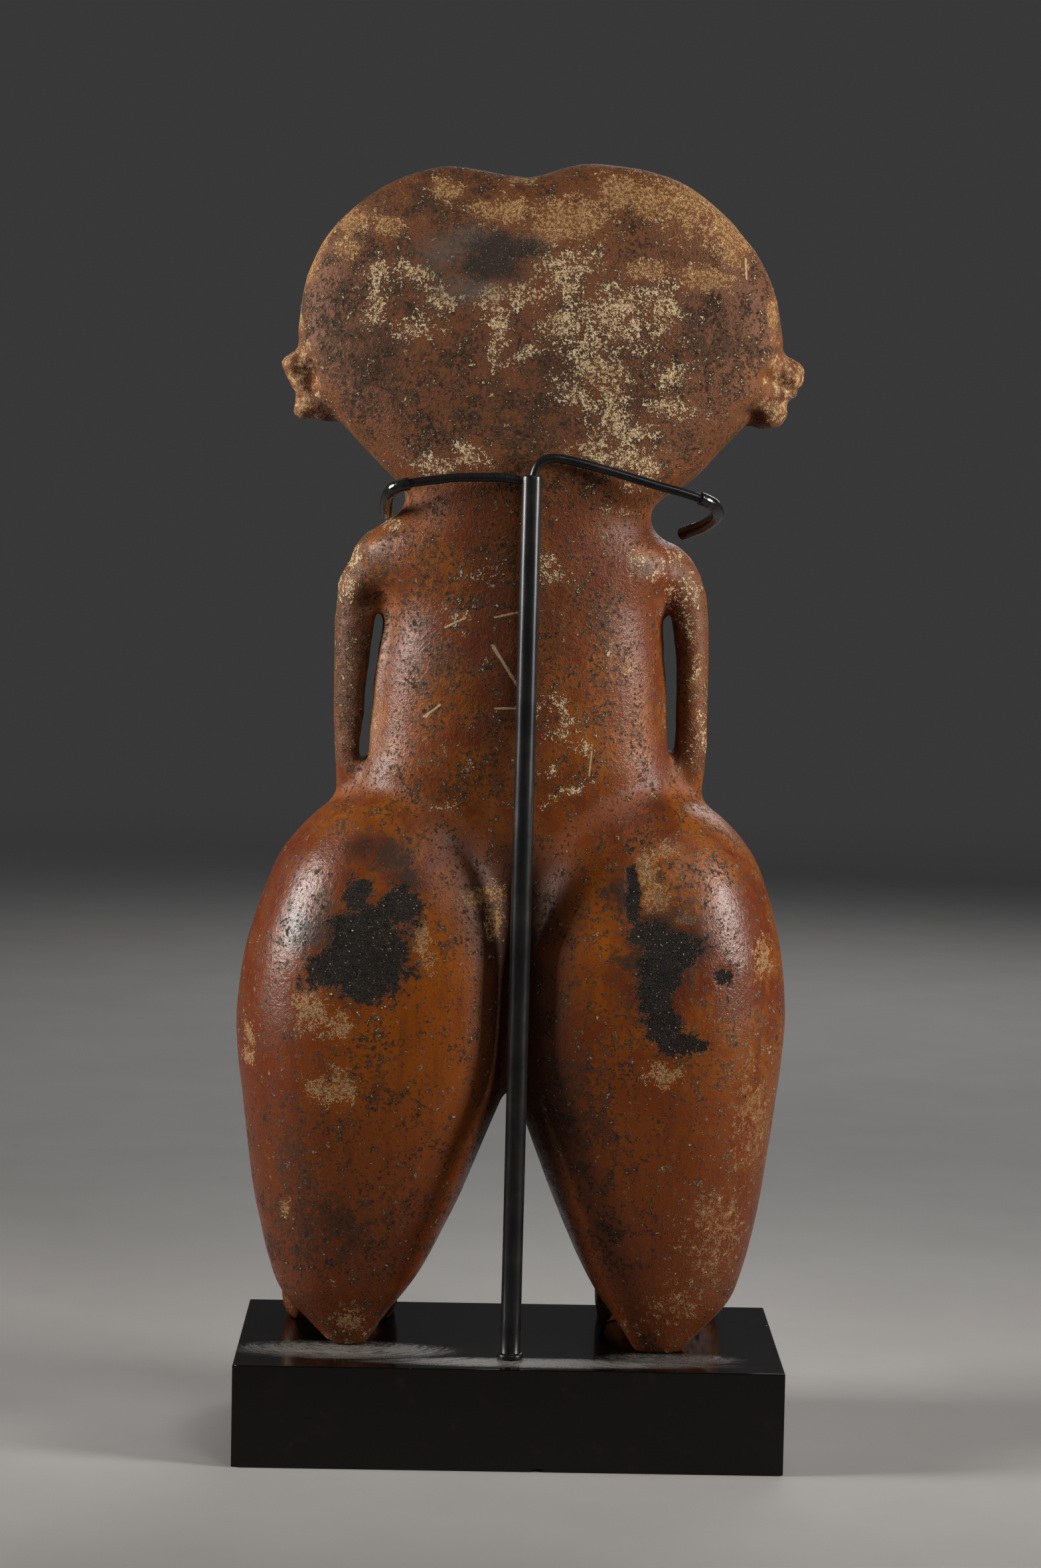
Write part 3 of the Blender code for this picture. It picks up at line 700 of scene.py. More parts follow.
# %% Marks on the back: x, height, half width, half height and any tilt, in millimetres and degrees
BACK_MARKS = {
    "char": (
        (-48.7, 176.8, 4.1, 5.1), (-47.1, 166.8, 9.7, 6.1, 20), (-35.8, 172.5, 7.3, 6.1, 20),
        (-43.4, 156.7, 11.1, 8.5, 10), (-55.6, 152.9, 9.1, 6.1, 20), (-47.3, 147.4, 9.7, 4.9),
        (-37.4, 151.1, 2.6, 2.0), (34.7, 183.3, 2.8, 4.1), (35.8, 177.0, 3.7, 5.3), (39.4, 167.4, 4.9, 5.7),
        (47.3, 161.8, 9.3, 5.7, -20), (44.6, 152.8, 7.7, 6.5), (43.6, 144.9, 6.5, 5.7), (45.8, 136.7, 4.5, 6.1),
        (50.9, 131.3, 7.7, 3.6), (64.3, 152.6, 2.8, 2.4),
    ),
    "haze": (
        (-39.0, 189.0, 10.2, 6.9), (-34.3, 182.1, 8.1, 6.1), (-47.7, 190.7, 8.2, 4.9), (-66.3, 163.7, 6.1, 9.2),
        (31.7, 180.3, 6.9, 8.9), (45.3, 159.3, 16.2, 19.2), (-48.6, 160.7, 19.3, 18.2),
    ),
    "cloud": (
        (-8.5, 375.3, 11.5, 5.2), (-11.6, 368.7, 10.5, 4.7),
    ),
    "ash": ((-27.0, 374.5, 8.8, 6.5, 20), (-19.0, 378.0, 10.0, 4.0), (-18.0, 363.0, 12.0, 5.0)),
    "buff": (
        (14.0, 384.4, 11.3, 6.6), (4.5, 379.7, 7.8, 4.9), (27.8, 393.0, 7.8, 7.0), (38.1, 391.2, 9.3, 7.4),
        (51.6, 391.8, 10.3, 8.3, -40), (61.6, 381.3, 6.2, 11.2, 20), (-8.9, 386.4, 12.3, 4.1),
        (-2.3, 396.0, 4.1, 1.7), (36.8, 369.3, 8.2, 3.3), (54.1, 366.5, 8.2, 4.1), (-26.0, 393.4, 5.4, 4.1),
        (-53.9, 383.1, 5.0, 5.4), (-44.1, 381.8, 4.5, 3.3), (-55.7, 374.7, 4.5, 2.9),
        (-67.6, 368.3, 1.7, 11.4, -20), (-64.0, 375.9, 2.1, 8.3, -35), (-70.9, 355.4, 1.4, 6.2),
        (76.1, 355.1, 2.1, 6.2), (-63.5, 141.1, 5.7, 6.9), (-53.9, 135.7, 4.1, 4.9), (-58.4, 115.2, 7.7, 4.1),
        (-53.0, 116.1, 4.1, 5.3), (-28.6, 162.1, 3.6, 6.9), (-10.1, 175.6, 6.9, 3.7), (-6.4, 166.5, 2.9, 4.9),
        (40.0, 186.4, 3.7, 5.3), (43.0, 177.5, 4.5, 4.1), (46.0, 192.2, 4.5, 2.4), (53.3, 171.7, 3.2, 1.6),
        (-83.2, 130.0, 1.6, 3.3), (-83.6, 122.5, 1.7, 2.9), (76.7, 157.8, 2.9, 7.4), (46.2, 122.1, 5.7, 3.6),
        (-50.5, 39.5, 4.9, 3.3), (-71.0, 76.7, 2.1, 3.3),
    ),
    "sandy": (
        (74.0, 110.0, 9.2, 26.5), (63.4, 70.5, 13.3, 18.4), (52.4, 48.5, 12.3, 8.2), (-50.5, 41.5, 8.0, 6.0),
        (50.0, 385.0, 22.0, 12.0, -30), (-44.0, 229.0, 4.5, 16.0), (55.0, 248.0, 3.5, 24.0),
    ),
    "crust": (
        (-46.2, 367.0, 6.2, 3.3), (-35.0, 365.9, 8.6, 3.3, -20), (-27.3, 359.1, 5.3, 3.7),
        (-46.1, 358.8, 4.1, 4.9), (-48.0, 352.3, 4.9, 2.9), (-36.3, 349.8, 8.2, 2.9), (-10.4, 359.4, 6.1, 6.1),
        (-9.2, 349.3, 3.3, 9.2), (0.5, 361.6, 9.2, 3.7), (9.0, 363.8, 7.2, 5.3), (10.7, 370.4, 10.2, 5.3),
        (22.1, 356.0, 8.2, 9.2), (18.3, 343.7, 6.1, 9.2), (22.5, 336.7, 8.2, 6.1), (28.3, 354.1, 8.2, 12.3),
        (39.4, 356.4, 7.2, 10.2), (11.2, 351.1, 8.2, 5.3), (15.9, 329.7, 9.4, 3.7, -30), (26.6, 330.8, 4.5, 12.2),
        (28.9, 321.7, 4.1, 8.2), (43.7, 336.8, 6.5, 4.5), (45.1, 327.3, 8.2, 3.3), (31.2, 319.5, 10.2, 3.3),
        (19.5, 312.8, 6.9, 3.3), (30.1, 311.6, 9.0, 4.1), (36.0, 308.7, 4.9, 4.9), (31.6, 302.3, 5.3, 1.6),
        (-26.4, 308.7, 7.0, 3.3), (-16.9, 310.3, 5.7, 4.1), (-0.4, 342.4, 5.3, 2.0, 35), (7.3, 279.5, 3.3, 2.0),
        (9.3, 275.0, 6.1, 2.9), (-19.5, 261.8, 6.1, 1.6, 25), (10.1, 235.2, 6.1, 4.1), (15.7, 228.9, 4.1, 4.5),
        (12.9, 225.5, 8.2, 3.3), (19.6, 221.5, 3.7, 2.5), (10.5, 214.2, 4.5, 2.5), (25.1, 216.1, 1.2, 2.0),
        (16.7, 205.9, 4.1, 2.9), (10.0, 200.4, 4.1, 2.5), (-16.2, 215.1, 2.0, 2.9), (-21.9, 202.4, 4.1, 2.0),
        (29.0, 295.1, 5.7, 1.6), (34.7, 280.6, 4.5, 2.9), (42.4, 276.1, 4.1, 3.3), (47.5, 267.7, 3.7, 6.2),
        (51.1, 271.6, 3.3, 4.1), (52.2, 260.6, 2.5, 5.0), (54.4, 247.7, 2.1, 2.5), (56.7, 231.8, 2.9, 6.2),
        (55.9, 223.7, 2.9, 6.2), (33.6, 246.1, 2.9, 2.1), (28.0, 252.5, 1.6, 4.9), (-11.9, 275.0, 8.2, 4.1),
        (-53.9, 279.9, 2.5, 5.4), (-54.9, 270.7, 2.5, 5.4), (-41.9, 289.9, 4.1, 2.1), (46.0, 281.6, 6.2, 2.9),
    ),
    "dusk": (
        (-44.4, 275.3, 3.3, 8.2), (-24.5, 246.1, 2.9, 3.3), (-12.3, 272.2, 6.1, 6.9), (-31.0, 253.2, 7.0, 13.1),
        (36.6, 277.0, 4.9, 3.3), (25.9, 262.6, 6.1, 10.2), (-23.0, 208.2, 2.9, 4.5), (-21.1, 203.7, 7.0, 2.9, -30),
        (42.8, 204.1, 3.3, 2.5), (-32.5, 391.9, 16.5, 8.2), (-28.8, 365.2, 19.5, 12.3), (11.3, 337.5, 32.6, 24.5),
        (56.9, 354.8, 12.3, 14.4), (-47.7, 336.5, 12.3, 12.3), (-66.2, 97.3, 9.0, 14.3), (-59.6, 68.1, 13.1, 9.0),
        (33.8, 94.7, 6.9, 6.9), (66.5, 69.0, 4.9, 2.9), (18.4, 101.8, 10.2, 30.5), (-54.0, 245.0, 4.5, 28.0),
    ),
    "red": (
        (-81.7, 110.2, 14.4, 53.6), (37.9, 362.4, 9.0, 9.0), (-48.0, 371.5, 12.3, 8.2), (-58.2, 348.6, 10.3, 10.3),
        (13.9, 103.7, 10.2, 40.8), (-74.2, 173.6, 14.4, 30.9),
    ),
    "amber": (
        (-31.5, 116.6, 26.4, 40.5), (39.0, 83.7, 22.4, 26.5), (-16.0, 162.0, 10.2, 18.3),
        (14.6, 166.5, 12.2, 18.3), (-66.6, 328.2, 8.3, 8.3), (73.1, 339.0, 8.2, 8.2),
    ),
}
# Hollows and lumps on the ears and the left shoulder: x, height, half width, half height and rise
BACK_FORMS = (
    (-67.0, 334.5, 2.6, 4.5, -2.0), (-66.0, 322.5, 3.0, 2.4, -1.6), (-75.5, 329.5, 2.4, 1.8, -1.8),
    (-73.0, 339.0, 2.4, 2.2, 1.0), (-72.0, 324.5, 3.0, 2.4, 1.0), (75.0, 336.5, 3.0, 3.0, -1.6),
    (70.5, 325.0, 3.2, 2.4, -2.2), (83.0, 329.5, 3.0, 1.8, -1.8), (83.0, 337.0, 3.2, 2.6, 1.1),
    (78.0, 323.0, 3.6, 2.4, 1.0), (-50.8, 271.0, 5.5, 4.5, 1.5), (-48.5, 264.8, 4.5, 2.2, -1.3),
)
# Pale scratches: x and height at both ends, and half width
SCRATCHES = (
    (-9.1, 253.3, -1.3, 241.2, 0.55), (-29.8, 230.8, -25.1, 234.5, 0.4), (-8.6, 262.1, -1.4, 263.8, 0.35),
    (66.9, 373.6, 67.2, 367.4, 0.35), (-23.9, 258.6, -17.7, 261.7, 0.35), (-8.0, 234.0, -1.6, 234.2, 0.4),
    (22.2, 221.0, 21.6, 213.5, 0.3),
)
# Marks on the front, which are fewer and plainer
FRONT_MARKS = {
    "haze": ((-22.0, 176.0, 15.0, 12.0, 20), (48.0, 128.0, 11.0, 15.0)),
    "cloud": ((40.0, 376.0, 14.0, 9.0, -20),),
    "buff": (
        (4.5, 335.0, 2.6, 11.0),
        (-34.0, 392.0, 12.0, 4.0, 10),
        (44.0, 388.0, 12.0, 4.0, -20),
        (30.0, 102.0, 8.0, 6.0, 20),
        (-60.0, 62.0, 8.0, 8.0),
    ),
    "sandy": ((-50.0, 50.0, 18.0, 14.0), (50.0, 50.0, 18.0, 14.0), (4.0, 385.0, 50.0, 12.0)),
    "crust": (
        (-28.0, 330.0, 9.0, 8.0),
        (36.0, 322.0, 8.0, 5.0, -20),
        (8.0, 240.0, 10.0, 7.0, 10),
        (-44.0, 148.0, 7.0, 10.0),
    ),
    "dusk": ((4.0, 368.0, 40.0, 14.0), (-40.0, 90.0, 18.0, 24.0), (4.0, 300.0, 30.0, 8.0)),
    "red": ((-50.0, 150.0, 26.0, 40.0), (48.0, 90.0, 20.0, 40.0)),
    "amber": ((40.0, 160.0, 24.0, 30.0), (0.0, 190.0, 30.0, 24.0)),
}


# %% Repeatable noise for the points of a mesh
def lattice(cells, seed):
    """A repeatable value from 0 to 1 for each whole-number cell."""
    mixed = (cells.astype(np.int64) * np.array([73856093, 19349663, 83492791])).sum(-1) + seed * 9176263
    mixed = (mixed ^ (mixed >> 13)) * 1274126177
    mixed = mixed ^ (mixed >> 16)
    return (mixed & 0xFFFF) / 65535.0


def hills(points, size, seed, octaves=2):
    """Soft random hills between -1 and 1, about one size across, with finer ones on them."""
    total = np.zeros(len(points))
    weight = 0.0
    for octave in range(octaves):
        at = points * (2.0**octave / size)
        cell = np.floor(at)
        t = at - cell
        t = t * t * (3.0 - 2.0 * t)
        for corner in np.ndindex(2, 2, 2):
            share = np.prod(np.where(corner, t, 1.0 - t), axis=1)
            total += 0.5**octave * share * lattice(cell + corner, seed + octave)
        weight += 0.5**octave
    return 2.0 * total / weight - 1.0


def marked(places, rows):
    """How strongly each x and height lies in the marks: 1 in a middle and 0.5 on its edge."""
    strength = np.zeros(len(places))
    for x, height, half_width, half_height, *tilt in rows:
        turn = math.radians(sum(tilt))
        across, up = places[:, 0] - x, places[:, 1] - height
        u = (across * math.cos(turn) + up * math.sin(turn)) / half_width
        v = (up * math.cos(turn) - across * math.sin(turn)) / half_height
        np.maximum(strength, 0.5 ** (u * u + v * v), out=strength)
    return strength


def along_lines(places, lines):
    """1 on the lines and 0 away from them, from rows of x and height at both ends and a half width."""
    strength = np.zeros(len(places))
    for x0, z0, x1, z1, half_width in lines:
        start, way = np.array([x0, z0]), np.array([x1 - x0, z1 - z0])
        t = np.clip((places - start) @ way / (way @ way), 0.0, 1.0)
        away = np.linalg.norm(places - start - t[:, None] * way, axis=1) / half_width
        np.maximum(strength, np.exp(-away * away), out=strength)
    return strength


# %% [markdown]
# ## Relief in the clay itself
#
# What is bigger than a grain of sand is moved in the mesh, so that it shows in the outline and in the shadows: the
# unevenness left by the fingers, the torn ends of the ears, the sunk patches, the raised crust, and the lines
# that divide eyes, lips, fingers and toes. Each point is pushed along its own normal. To know where the shape is a
# ridge or a crease, the mesh is smoothed strongly and compared with itself.

# %% Lines pressed into the front: x and height at both ends, and half width
def arc(middle, height, half_width, rise, half_line, pieces=6):
    """A shallow curved line as short straight pieces."""
    turn = np.linspace(-1.0, 1.0, pieces + 1)
    xs, zs = middle + half_width * turn, height + rise * (1.0 - turn * turn)
    return [(*a, *b, half_line) for a, b in zip(np.column_stack([xs, zs]), np.column_stack([xs[1:], zs[1:]]))]


EYE_HEIGHT = 348.5
EYE_OUT = 27.0
# Half width, rise and half line of the closed lid, and of the upper and lower edges of an eye
EYE_ARCS = ((9.5, 0.4, 0.9), (12.5, 4.4, 0.8), (12.5, -4.0, 0.8))
MOUTH_HEIGHT = 314.8
MOUTH_ARC = (8.0, 0.6, 0.8)
FINGERS = (-3.4, 0.0, 3.4)
FINGERS_START, FINGERS_END = (21.0, 219.5), (8.5, 224.0)
TOES = (-9.0, -3.0, 3.0, 9.0)
TOES_TOP = 45.0
FACE_LINES = arc(FACE_MIDDLE, MOUTH_HEIGHT, *MOUTH_ARC)
for side in (-1, 1):
    for eye_arc in EYE_ARCS:
        FACE_LINES += arc(FACE_MIDDLE + side * EYE_OUT, EYE_HEIGHT, *eye_arc)
FINGER_LINES = []
TOE_LINES = []
for side in (-1, 1):
    (start, start_height), (end, end_height) = FINGERS_START, FINGERS_END
    for finger in FINGERS:
        ends = (ARMS_MIDDLE + side * start, start_height + finger, ARMS_MIDDLE + side * end, end_height + finger)
        FINGER_LINES.append((*ends, 0.8))
    for toe in TOES:
        across = LEGS_MIDDLE + side * (FOOT_MIDDLE[side] + toe)
        TOE_LINES.append((across, SOLE - 2.0, across, TOES_TOP, 1.3))
print(len(FACE_LINES), "pieces of line on the face,", len(FINGER_LINES + TOE_LINES), "on hands and feet")


# %% The points, their normals, and a smoothed copy
def points_of(mesh):
    points = np.empty(len(mesh.vertices) * 3)
    mesh.vertices.foreach_get("co", points)
    normals = np.empty(len(mesh.vertices) * 3)
    mesh.vertex_normals.foreach_get("vector", normals)
    return points.reshape(-1, 3) / MM, normals.reshape(-1, 3)


def averaged(mesh, values, times):
    """Values at the points, each averaged with its neighbours' as often as `times` says."""
    pairs = np.empty(len(mesh.edges) * 2, int)
    mesh.edges.foreach_get("vertices", pairs)
    a, b = pairs.reshape(-1, 2).T
    count = len(mesh.vertices)
    near = np.bincount(a, minlength=count) + np.bincount(b, minlength=count)
    near = np.maximum(near, 1)[:, None]
    values = values.reshape(count, -1).copy()
    for _ in range(times):
        total = np.column_stack(
            [
                np.bincount(a, column[b], minlength=count) + np.bincount(b, column[a], minlength=count)
                for column in values.T
            ]
        )
        values = 0.4 * values + 0.6 * total / near
    return values


# Where the arms begin: from the middle plane, from below and from above
ARMS_OUT = (45.0, 49.0)
ARMS_BOTTOM = (208.0, 216.0)
ARMS_TOP = (286.0, 294.0)
points, normals = points_of(figure.data)
smoothed = averaged(figure.data, points, 50)
broad_normals = averaged(figure.data, normals, 12)
wiped = averaged(figure.data, smoothed, 150)
bulge = ((points - smoothed) * normals).sum(axis=1)
on_arms = smooth_step(np.abs(points[:, 0]), *ARMS_OUT) * smooth_step(points[:, 2], *ARMS_BOTTOM)
on_arms *= 1.0 - smooth_step(points[:, 2], *ARMS_TOP)
ridge = smooth_step(bulge, 0.25, 1.2) * (1.0 - 0.85 * on_arms)
crease = smooth_step(-bulge, 0.15, 1.0)
print("ridges on", round(100 * ridge.mean(), 1), "% and creases on", round(100 * crease.mean(), 1), "%")

# %% Masks from the marks
HEAD_STARTS = (292.0, 316.0)
# Over these heights the legs turn darker towards the feet: partly painted fall-off of light, partly a deeper red slip
FALLOFF_AND_RED_BELOW = (45.0, 175.0)
EARS_FROM = 66.0
EARS_BOTTOM = (316.0, 321.0)
EARS_TOP = (343.0, 348.0)
# How much the edges of a mark are torn by noise
TORN = {"char": 0.3, "buff": 0.25, "crust": 0.25, "cloud": 0.15, "dusk": 0.4}
# Where the joins were wiped smoother: x, height, half width, half height and share
WIPED = ((20.0, 186.0, 26.0, 22.0, 0.9), (-22.0, 190.0, 22.0, 16.0, 0.45))
# How weathered the skin is at some heights: least on the thighs and most on the head
WEATHER = ((32.0, 60.0, 100.0, 180.0, 212.0, 285.0, 318.0), (0.6, 0.42, 0.18, 0.12, 0.36, 0.5, 1.0))
BACK_FADES = (0.35, -0.05)
warp = np.column_stack([hills(points, 9.0, 11), hills(points, 9.0, 12)]) * 2.2
warp += np.column_stack([hills(points, 3.5, 13), hills(points, 3.5, 14)]) * 0.9
places = points[:, [0, 2]] + warp
on_back = 1.0 - smooth_step(broad_normals[:, 1], BACK_FADES[1], BACK_FADES[0])
masks = {}
for name, rows in BACK_MARKS.items():
    back = on_back * marked(places, rows)
    front = (1.0 - on_back) * marked(places, FRONT_MARKS.get(name, ()))
    masks[name] = back + front
tear = hills(points, 4.5, 21, 3)
for name, amount in TORN.items():
    masks[name] = np.clip(masks[name] + amount * tear * (masks[name] > 0.02), 0.0, 1.0)
masks["back"] = on_back
masks["ridge"] = ridge
masks["crease"] = crease
ear_reach = np.abs(points[:, 0] - FACE_MIDDLE) - EARS_FROM
in_ear_height = smooth_step(points[:, 2], *EARS_BOTTOM) * (1.0 - smooth_step(points[:, 2], *EARS_TOP))
masks["ear"] = smooth_step(ear_reach, -1.0, 9.0) * in_ear_height
masks["weather"] = np.maximum(np.interp(points[:, 2], *WEATHER), 0.85 * on_arms)
# Darker towards the feet: partly painted fall-off of light, partly a deeper red slip
masks["deep"] = 1.0 - smooth_step(points[:, 2], *FALLOFF_AND_RED_BELOW)
on_head = smooth_step(points[:, 2], *HEAD_STARTS)
masks["sandy"] = np.maximum(masks["sandy"], 0.5 * on_arms)
# Painted shade along the middle of the back and between the thighs: height, reach to the left and right, and strength
GROOVE_SHADE_ROWS = (
    (80.0, 12.0, 18.0, 0.0),
    (102.0, 14.0, 27.0, 0.9),
    (150.0, 17.0, 27.0, 0.85),
    (168.0, 25.0, 27.0, 1.0),
    (184.0, 25.0, 24.0, 0.95),
    (200.0, 18.0, 16.0, 0.35),
    (280.0, 24.0, 24.0, 0.4),
    (293.0, 22.0, 22.0, 0.0),
)
reach_left, reach_right, groove_shade_strength = smooth_rows(GROOVE_SHADE_ROWS, np.clip(points[:, 2], GROOVE_SHADE_ROWS[0][0], GROOVE_SHADE_ROWS[-1][0])).T
from_middle = points[:, 0] - LEGS_MIDDLE
from_middle = np.where(from_middle < 0.0, -from_middle / reach_left, from_middle / reach_right)
masks["groove"] = on_back * groove_shade_strength * (1.0 - smooth_step(from_middle, 0.25, 1.1))
for name, values in masks.items():
    print(name, round(float(values.mean()), 3), round(float(values.max()), 2))

# %% Push the points
height = 0.24 * hills(points, 22.0, 1) + (0.12 + 0.06 * masks["weather"]) * hills(points, 7.0, 2, 3)
height += on_head * 0.10 * hills(points, 4.0, 3, 2)
height -= 0.32 * smooth_step(masks["char"], 0.44, 0.56)
height -= 0.16 * smooth_step(masks["buff"], 0.46, 0.6)
height += 0.10 * smooth_step(masks["crust"] + 0.5 * hills(points, 3.0, 4), 0.45, 0.75)
height += masks["ear"] * (1.0 * hills(points, 7.0, 5) + 0.9 * hills(points, 3.2, 6) - 0.3)
for x, z, half_width, half_height, rise in BACK_FORMS:
    height += rise * np.exp(-(((points[:, 0] - x) / half_width) ** 2) - ((points[:, 2] - z) / half_height) ** 2)
height += on_arms * 0.3 * hills(points, 4.0, 7)
flat_places = points[:, [0, 2]]
facing = smooth_step(points[:, 1], 8.0, 14.0)
height -= 0.9 * facing * along_lines(flat_places, FACE_LINES + FINGER_LINES)
height -= 1.6 * smooth_step(points[:, 1], 34.0, 39.0) * along_lines(flat_places, TOE_LINES)
for x, z, half_width, half_height, share in WIPED:
    near = np.exp(-(((flat_places[:, 0] - x) / half_width) ** 4) - ((flat_places[:, 1] - z) / half_height) ** 4)
    points = points + (wiped - points) * (share * near * (normals[:, 1] < 0.3))[:, None]
free = smooth_step(points[:, 2], SOLE, SOLE + 1.5)[:, None]
points = points + normals * height[:, None] * free
low, high = (np.array(corner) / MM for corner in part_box("figure"))
points = np.clip(points, low, high)
figure.data.vertices.foreach_set("co", (points * MM).ravel())
figure.data.update()
masks["grit"] = np.clip(
    smooth_step(masks["char"], 0.48, 0.6) + 0.05 * smooth_step(masks["crust"], 0.5, 0.7), 0.0, 1.0
)
for name, values in masks.items():
    figure.data.attributes.new(name, "FLOAT", "POINT").data.foreach_set("value", values.astype(np.float32))
print("figure box in mm", points.min(0).round(1), points.max(0).round(1))

# %% [markdown]
# ## The finish of the clay
#
# Burnished slip is a satin skin: fairly smooth where it was rubbed, with fine strokes running up and down, and
# warm red to amber in colour because the fire was uneven. Where it is worn the buff, sandy body shows, which is
# matt. So are the dark specks and the soot. Down the middle of the back and between the thighs the colour is
# darkened by painted shade, and that band is also made more matt. Towards the feet the legs darken by painted
# fall-off of light over a deeper red slip. The material reads the masks from the mesh for where things are, and
# adds fine noise for how their edges break up. A painted picture could not be made sharper later, but this
# recipe can be looked at from close by.

# %% Clay: its colours
DARK_SLIP, LIGHT_SLIP = (0.120, 0.022, 0.0045), (0.24, 0.066, 0.005)
RED_SLIP = (0.105, 0.016, 0.004)
AMBER_SLIP = (0.29, 0.073, 0.003)
# Lower legs: a deeper red slip darkened further by painted fall-off of light
LOW_LEG_SLIP_AND_FALLOFF = (0.120, 0.020, 0.001)
EARTHY_SLIP = (0.104, 0.036, 0.008)
MOTTLE_BROWN = (0.028, 0.012, 0.0045)
FLECK_ORANGE = (0.40, 0.150, 0.034)
STREAK_BROWN = (0.065, 0.011, 0.003)
CREASE_ORANGE = (0.22, 0.058, 0.012)
# Painted shade for the band down the middle of the back and between the thighs
GROOVE_SHADE_BROWN = (0.020, 0.005, 0.0015)
SPECK_BLACK, PIN_BLACK, SPOT_BLACK = (0.012, 0.007, 0.005), (0.012, 0.008, 0.006), (0.016, 0.011, 0.009)
SANDY_CLAY = (0.32, 0.165, 0.065)
DARK_BUFF, PALE_BUFF = (0.15, 0.068, 0.024), (0.43, 0.245, 0.10)
DARK_TORN, PALE_TORN = (0.14, 0.050, 0.016), (0.52, 0.33, 0.17)
DARK_CRUST, PALE_CRUST = (0.26, 0.145, 0.058), (0.66, 0.51, 0.31)
SMOKE_BROWN = (0.024, 0.014, 0.010)
ASH_GREY = (0.085, 0.075, 0.066)
SOOT_BLACK, SOOT_GRAIN = (0.018, 0.015, 0.013), (0.30, 0.24, 0.16)
CHAR_BLACK, CHAR_GRAIN = (0.006, 0.005, 0.004), (0.20, 0.15, 0.09)
SCRATCH_BUFF = (0.46, 0.32, 0.18)
CLAY_GLOSS = 0.3

# %% Clay: the patterns it is made of
clay = Finish("Burnished red slip")
broad = clay.clouds(30.0, 2.0, bend=0.6)
cloud = clay.clouds(9.0, 3.0, shift=3.1, bend=0.8)
mottle = clay.clouds(2.6, 3.0, 0.6, shift=7.7, bend=0.4)
fleck = clay.clouds(1.0, 2.0, 0.6, shift=5.7)
grain = clay.clouds(0.38, 1.5, shift=1.9)
streaks = clay.clouds(4.0, 3.0, stretch=(1.0, 1.0, 0.12), shift=5.2)
pins = clay.dots(1.6, 0.24, 0.07, shift=9.4)
spots = clay.dots(3.4, 0.30, 0.14, shift=2.2, bend=0.9)
weather = clay.worn("weather")
earthy = weather * weather

# %% Clay: the fired slip
slip = clay.blend((0.8 * broad + 0.6 * cloud).between(-0.4, 0.4), DARK_SLIP, LIGHT_SLIP)
slip = clay.blend(clay.worn("red") * 0.7, slip, RED_SLIP)
slip = clay.blend(clay.worn("amber") * 0.8, slip, AMBER_SLIP)
# Darker towards the feet: partly painted fall-off of light, partly a deeper red slip
slip = clay.blend(clay.worn("deep") * 0.85, slip, LOW_LEG_SLIP_AND_FALLOFF)
slip = clay.blend(earthy * 0.75, slip, EARTHY_SLIP)
dusk = clay.worn("dusk")
shade = 0.4 * broad + 0.55 * cloud + 0.8 * mottle + 0.55 * fleck + 0.36 * dusk + 0.15 * weather
shade = (shade + 0.09 * weather - 0.03).between(0.0, 0.52) * (0.50 + 0.20 * weather + 0.12 * dusk)
slip = clay.blend(shade, slip, MOTTLE_BROWN)
lights = (0.5 * fleck + 0.4 * grain + 0.5 * mottle - 0.15 * cloud).between(0.05, 0.45) * (0.08 + 0.36 * weather)
slip = clay.blend(lights, slip, FLECK_ORANGE)
slip = clay.blend(streaks.between(-0.1, 0.8) * 0.45 * (1.0 - weather), slip, STREAK_BROWN)
slip = clay.blend(clay.worn("crease") * 0.5, slip, CREASE_ORANGE)
# Painted shade down the middle of the back and between the thighs
slip = clay.blend((clay.worn("groove") + 0.25 * cloud * clay.worn("groove")) * 0.85, slip, GROOVE_SHADE_BROWN)

# %% Clay: dark specks
specks = (0.8 * fleck + 0.5 * mottle + 0.3 * cloud + 0.25 * grain + 0.1 * weather).between(0.20, 0.42)
slip = clay.blend(specks * 0.85, slip, SPECK_BLACK)
peppered = (cloud + 0.6 * broad).between(-0.9, 0.2)
slip = clay.blend(pins * peppered * 0.9, slip, PIN_BLACK)
slip = clay.blend(spots * peppered * 0.85, slip, SPOT_BLACK)

# %% Clay: bare buff body, torn ears and pale crust
broken = 0.40 * mottle + 0.36 * grain + 0.36 * fleck
edges = (0.5 * clay.worn("ridge") + broken).between(0.5, 0.9)
sandy = (0.52 * clay.worn("sandy") + 0.2 * cloud + broken).between(0.45, 0.65)
slip = clay.blend((sandy * 0.7).most(edges * 0.6), slip, SANDY_CLAY)
buff = (0.72 * clay.worn("buff") + broken).between(0.38, 0.60)
buff_colour = clay.blend((fleck + grain).between(-0.5, 0.6), DARK_BUFF, PALE_BUFF)
slip = clay.blend(buff * 0.85, slip, buff_colour)
torn = (0.62 * clay.worn("ear") + 0.3 * mottle + broken).between(0.3, 0.8)
torn_colour = clay.blend((mottle + 0.7 * fleck + 0.4 * grain).between(-0.4, 0.7), DARK_TORN, PALE_TORN)
slip = clay.blend(torn * 0.8, slip, torn_colour)
crust = (0.47 * clay.worn("crust") + 0.13 * earthy + 0.15 * cloud + broken).between(0.46, 0.62)
crust_colour = clay.blend((fleck + grain + 0.4 * cloud).between(-0.3, 0.8), DARK_CRUST, PALE_CRUST)
slip = clay.blend(crust * 0.9, slip, crust_colour)

